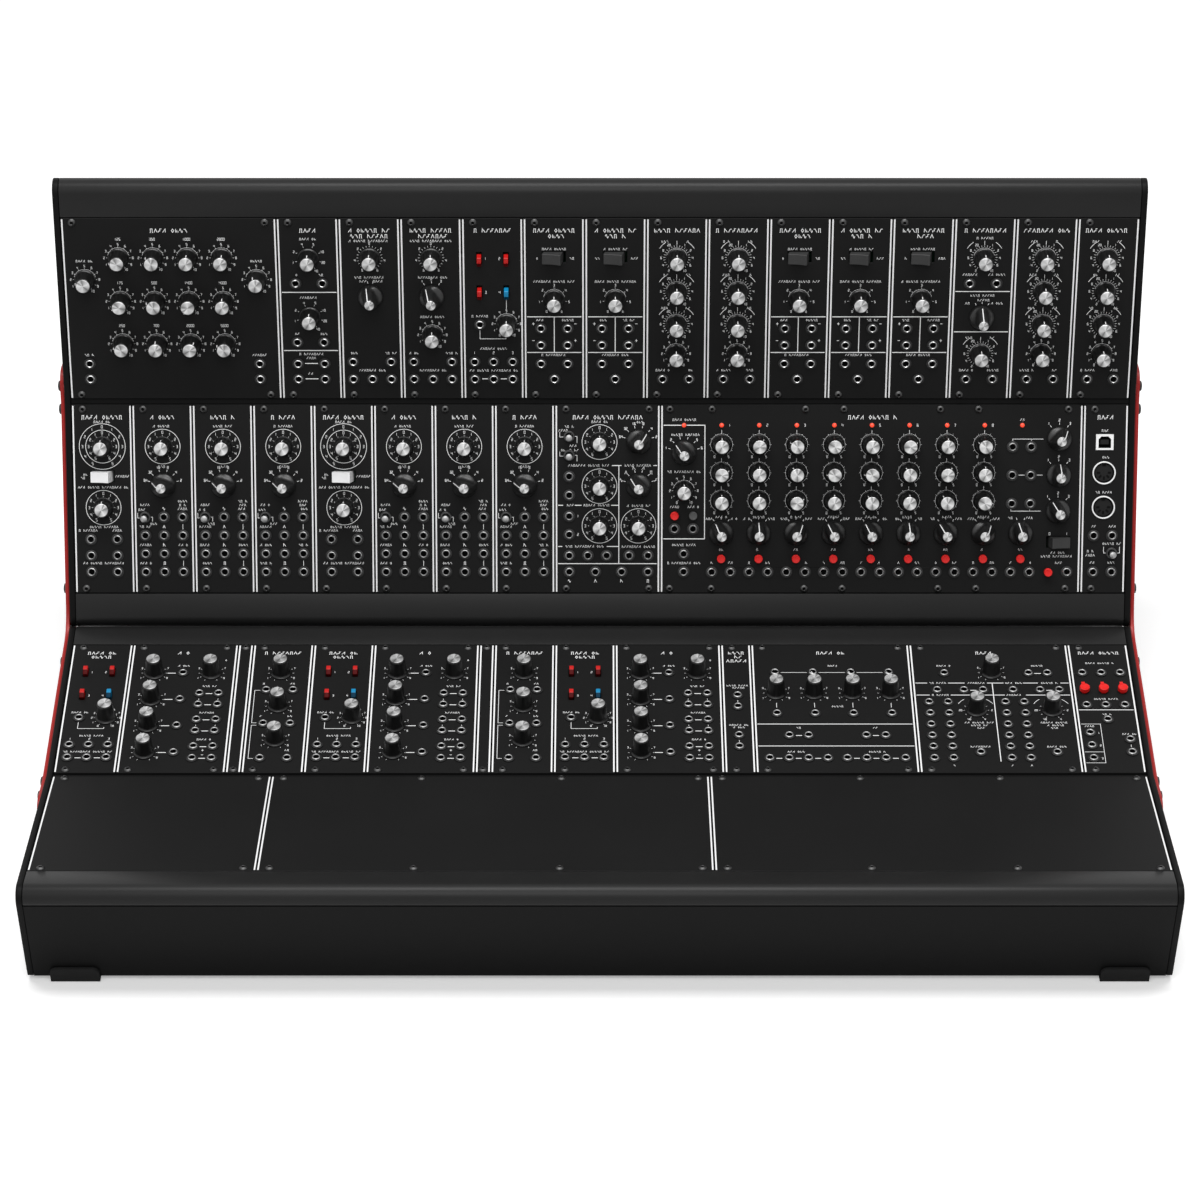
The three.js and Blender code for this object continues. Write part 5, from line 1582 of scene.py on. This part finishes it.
def borderForms(low, high):
    # the white line down each side of a faceplate
    ends = (border["end"], rack["height"] - border["end"])
    return [stroke([(x, y) for y in ends], border["width"]) for x in (low + border["inset"], high - border["inset"])]


def boardForms(low, high):
    # a circuit board and the spacer along each of its sides
    b = board
    low, high = low + b["inset"], high - b["inset"]
    spans = [
        (low, high, b["back"], b["front"]), (low, low + b["wall"], b["front"], b["top"]),
        (high - b["wall"], high, b["front"], b["top"]),
    ]
    return [blockForm((left, b["low"], back), (right, b["high"], front)) for left, right, back, front in spans]


def addControl(still, address, kind, spot, matrix):
    # a control with a joint becomes a piece of its own, and a fixed one joins the others with its looks
    node, index, control, i = address
    name = movingAt.get(address)
    turn = 0 if name and control == "knobs" else turns.get(kind, {}).get(control, {i: 0})[i]
    form = controlForm(control, node, turn)
    looks, slot = controlLooks(control, node, i)
    spread = capSpread(control, form)
    if name:
        makePiece(name + "_dressed", form, matrix @ shift(*spot, 0), looks, slot, name, [name], across=spread)
    else:
        still.setdefault((control, tuple(looks), slot), []).append((copies(form, [spot]), spread))


# What is fitted round a control or stands alone: its form, finishes and material slot
fittings = {
    "jacks": (jackForm(), ["blackNickel", "nickel", "darkHollow"], "rail"),
    "toggles": (toggleNutForm(), ["screwSteel"], "toggle_metal"),
    "lamps": (lampForm(), ["lampGlow", "blackNickel"], "button_red"),
    "squareSockets": (squareSocketForm(), ["whitePlastic", "darkHollow", "socketPlastic"], "rocker_white"),
    "roundSockets": (roundSocketForm(), ["whitePlastic", "darkHollow", "socketPlastic"], "rocker_white"),
}


def makeGroup(node, kinds, left, matrix):
    bare = node.replace("_modules", "").replace("_module", "").replace("_panel", "")
    plates, holes, boards, inkForms, screws = [], [], [], [], []
    still, spotsOf = {}, {}
    for index, (kind, units) in enumerate(kinds):
        width = units * rack["unit"]
        plates.append(rectangle(left + width / 2, rack["height"] / 2, width - rack["seam"], rack["height"]))
        screws += panelScrewSpots(kind, left, units)
        inkForms += borderForms(left, left + width) + printForms(kind, left, signSteps["module"] * index)
        if kind != "blank":
            boards += boardForms(left, left + width)
        for control, shares in places[kind].items():
            for i, (across, up) in enumerate(shares):
                x, y = left + across * width, up * rack["height"]
                spotsOf.setdefault(control, []).append((x, y))
                holes += holesFor(control, x, y)
                if control == "jacks":
                    # a socket body behind each jack, near black as painted shade at the foot of the bore
                    half = socketBody["half"]
                    low, high = (x - half, y - half, socketBody["back"]), (x + half, y + half, socketBody["front"])
                    boards.append(blockForm(low, high, 1))
                elif control == "knobs":
                    inkForms += dial(prints[kind]["dials"][i], x, y)
                elif control == "selectors":
                    inkForms += selectorMarks(x, y, *prints[kind]["marks"][i])
                if control in fixedForms or control in ("rockers", "buttons"):
                    addControl(still, (node, index, control, i), kind, (x, y), matrix)
        left += width
    faceplates = faceplateMesh(f"{bare}_faceplates", plates, holes, matrix)
    place(faceplates, ["panelCoat"], "faceplate", "frame", [node])
    makePiece(f"{bare}_print", joinForms(inkForms), matrix, ["whitePrint"], "faceplate")
    screwForms = copies(panelScrewForm(), screws)
    makePiece(f"{bare}_panel_screws", screwForms, matrix, ["screwSteel", "darkHollow"], "case_sheet")
    if boards:
        makePiece(f"{bare}_boards", joinForms(boards), matrix, ["boardGreen", "darkHollow"], "circuit_board")
    for count, ((control, looks, slot), found) in enumerate(still.items(), 1):
        forms, spreads = zip(*found)
        spread = None if spreads[0] is None else np.concatenate(spreads)
        makePiece(f"{bare}_{control}_{count}", joinForms(forms), matrix, looks, slot, across=spread)
    for control, (form, looks, slot) in fittings.items():
        if control in spotsOf:
            makePiece(f"{bare}_{control}_fitted", copies(form, spotsOf[control]), matrix, looks, slot)


for caseName, side, groups in rowPlan:
    matrix = rowFrame(caseName, side)
    left = -halfRow
    for node, kinds in groups:
        makeGroup(node, kinds, left, matrix)
        left += sum(units for _, units in kinds) * rack["unit"]
    print("row made:", caseName, side)

# Floor, daylight and two soft lamps
stage = {"half": 6, "tone": 0.9, "rough": 0.9, "gloss": 0.1, "glow": 0.3, "daylight": 0.34, "backdrop": 1.0}
half = stage["half"]
floor = bpy.data.objects.new("floor", bpy.data.meshes.new("floor"))
floor.data.from_pydata([(-half, -half, 0), (half, -half, 0), (half, half, 0), (-half, half, 0)], [], [(0, 1, 2, 3)])
bpy.context.scene.collection.objects.link(floor)
paper = Finish("palePaper")
seenByCamera = paper.node("ShaderNodeLightPath", {}, [], "Is Camera Ray")
floor.data.materials.append(paper.set(
    Base_Color=(*[stage["tone"]] * 3, 1), Roughness=stage["rough"], Specular_IOR_Level=stage["gloss"],
    Emission_Strength=stage["glow"], Emission_Color=seenByCamera,
))

# The backdrop is what the camera sees, straight, through glass or mirrored, and daylight is what lights the rest
world = bpy.data.worlds.new("studio")
bpy.context.scene.world = world
world.use_nodes = True
nodes, links = world.node_tree.nodes, world.node_tree.links
daylight, backdrop = nodes["Background"], nodes.new("ShaderNodeBackground")
for background, name in ((daylight, "daylight"), (backdrop, "backdrop")):
    background.inputs["Color"].default_value = (1, 1, 1, 1)
    background.inputs["Strength"].default_value = stage[name]
paths = nodes.new("ShaderNodeLightPath")
seen = paths.outputs["Is Camera Ray"]
for ray in ("Is Transmission Ray", "Is Glossy Ray"):
    highest = nodes.new("ShaderNodeMath")
    highest.operation = "MAXIMUM"
    links.new(seen, highest.inputs[0])
    links.new(paths.outputs[ray], highest.inputs[1])
    seen = highest.outputs[0]
mix = nodes.new("ShaderNodeMixShader")
for i, socket in enumerate((seen, daylight.outputs[0], backdrop.outputs[0])):
    links.new(socket, mix.inputs[i])
links.new(mix.outputs[0], nodes["World Output"].inputs[0])

lamps = {
    "topLamp": {"at": (0, -0.15, 2.3), "size": (2.4, 0.7), "power": 50, "aim": (0, -0.15, 0.15)},
    "frontLamp": {"at": (-0.25, -1.9, 2.2), "size": (2.2, 1.4), "power": 28, "aim": (0, 0.05, 0.15)},
}
for name, lamp in lamps.items():
    light = bpy.data.objects.new(name, bpy.data.lights.new(name, "AREA"))
    light.data.shape = "RECTANGLE"
    light.data.size, light.data.size_y = lamp["size"]
    light.data.energy = lamp["power"]
    light.location = lamp["at"]
    x, y, z = np.array(lamp["aim"]) - np.array(lamp["at"])
    light.rotation_euler = (math.atan2(math.hypot(x, y), -z), 0, math.atan2(-x, y))
    bpy.context.scene.collection.objects.link(light)
bpy.context.scene.view_settings.view_transform = "Standard"
print("stage made")
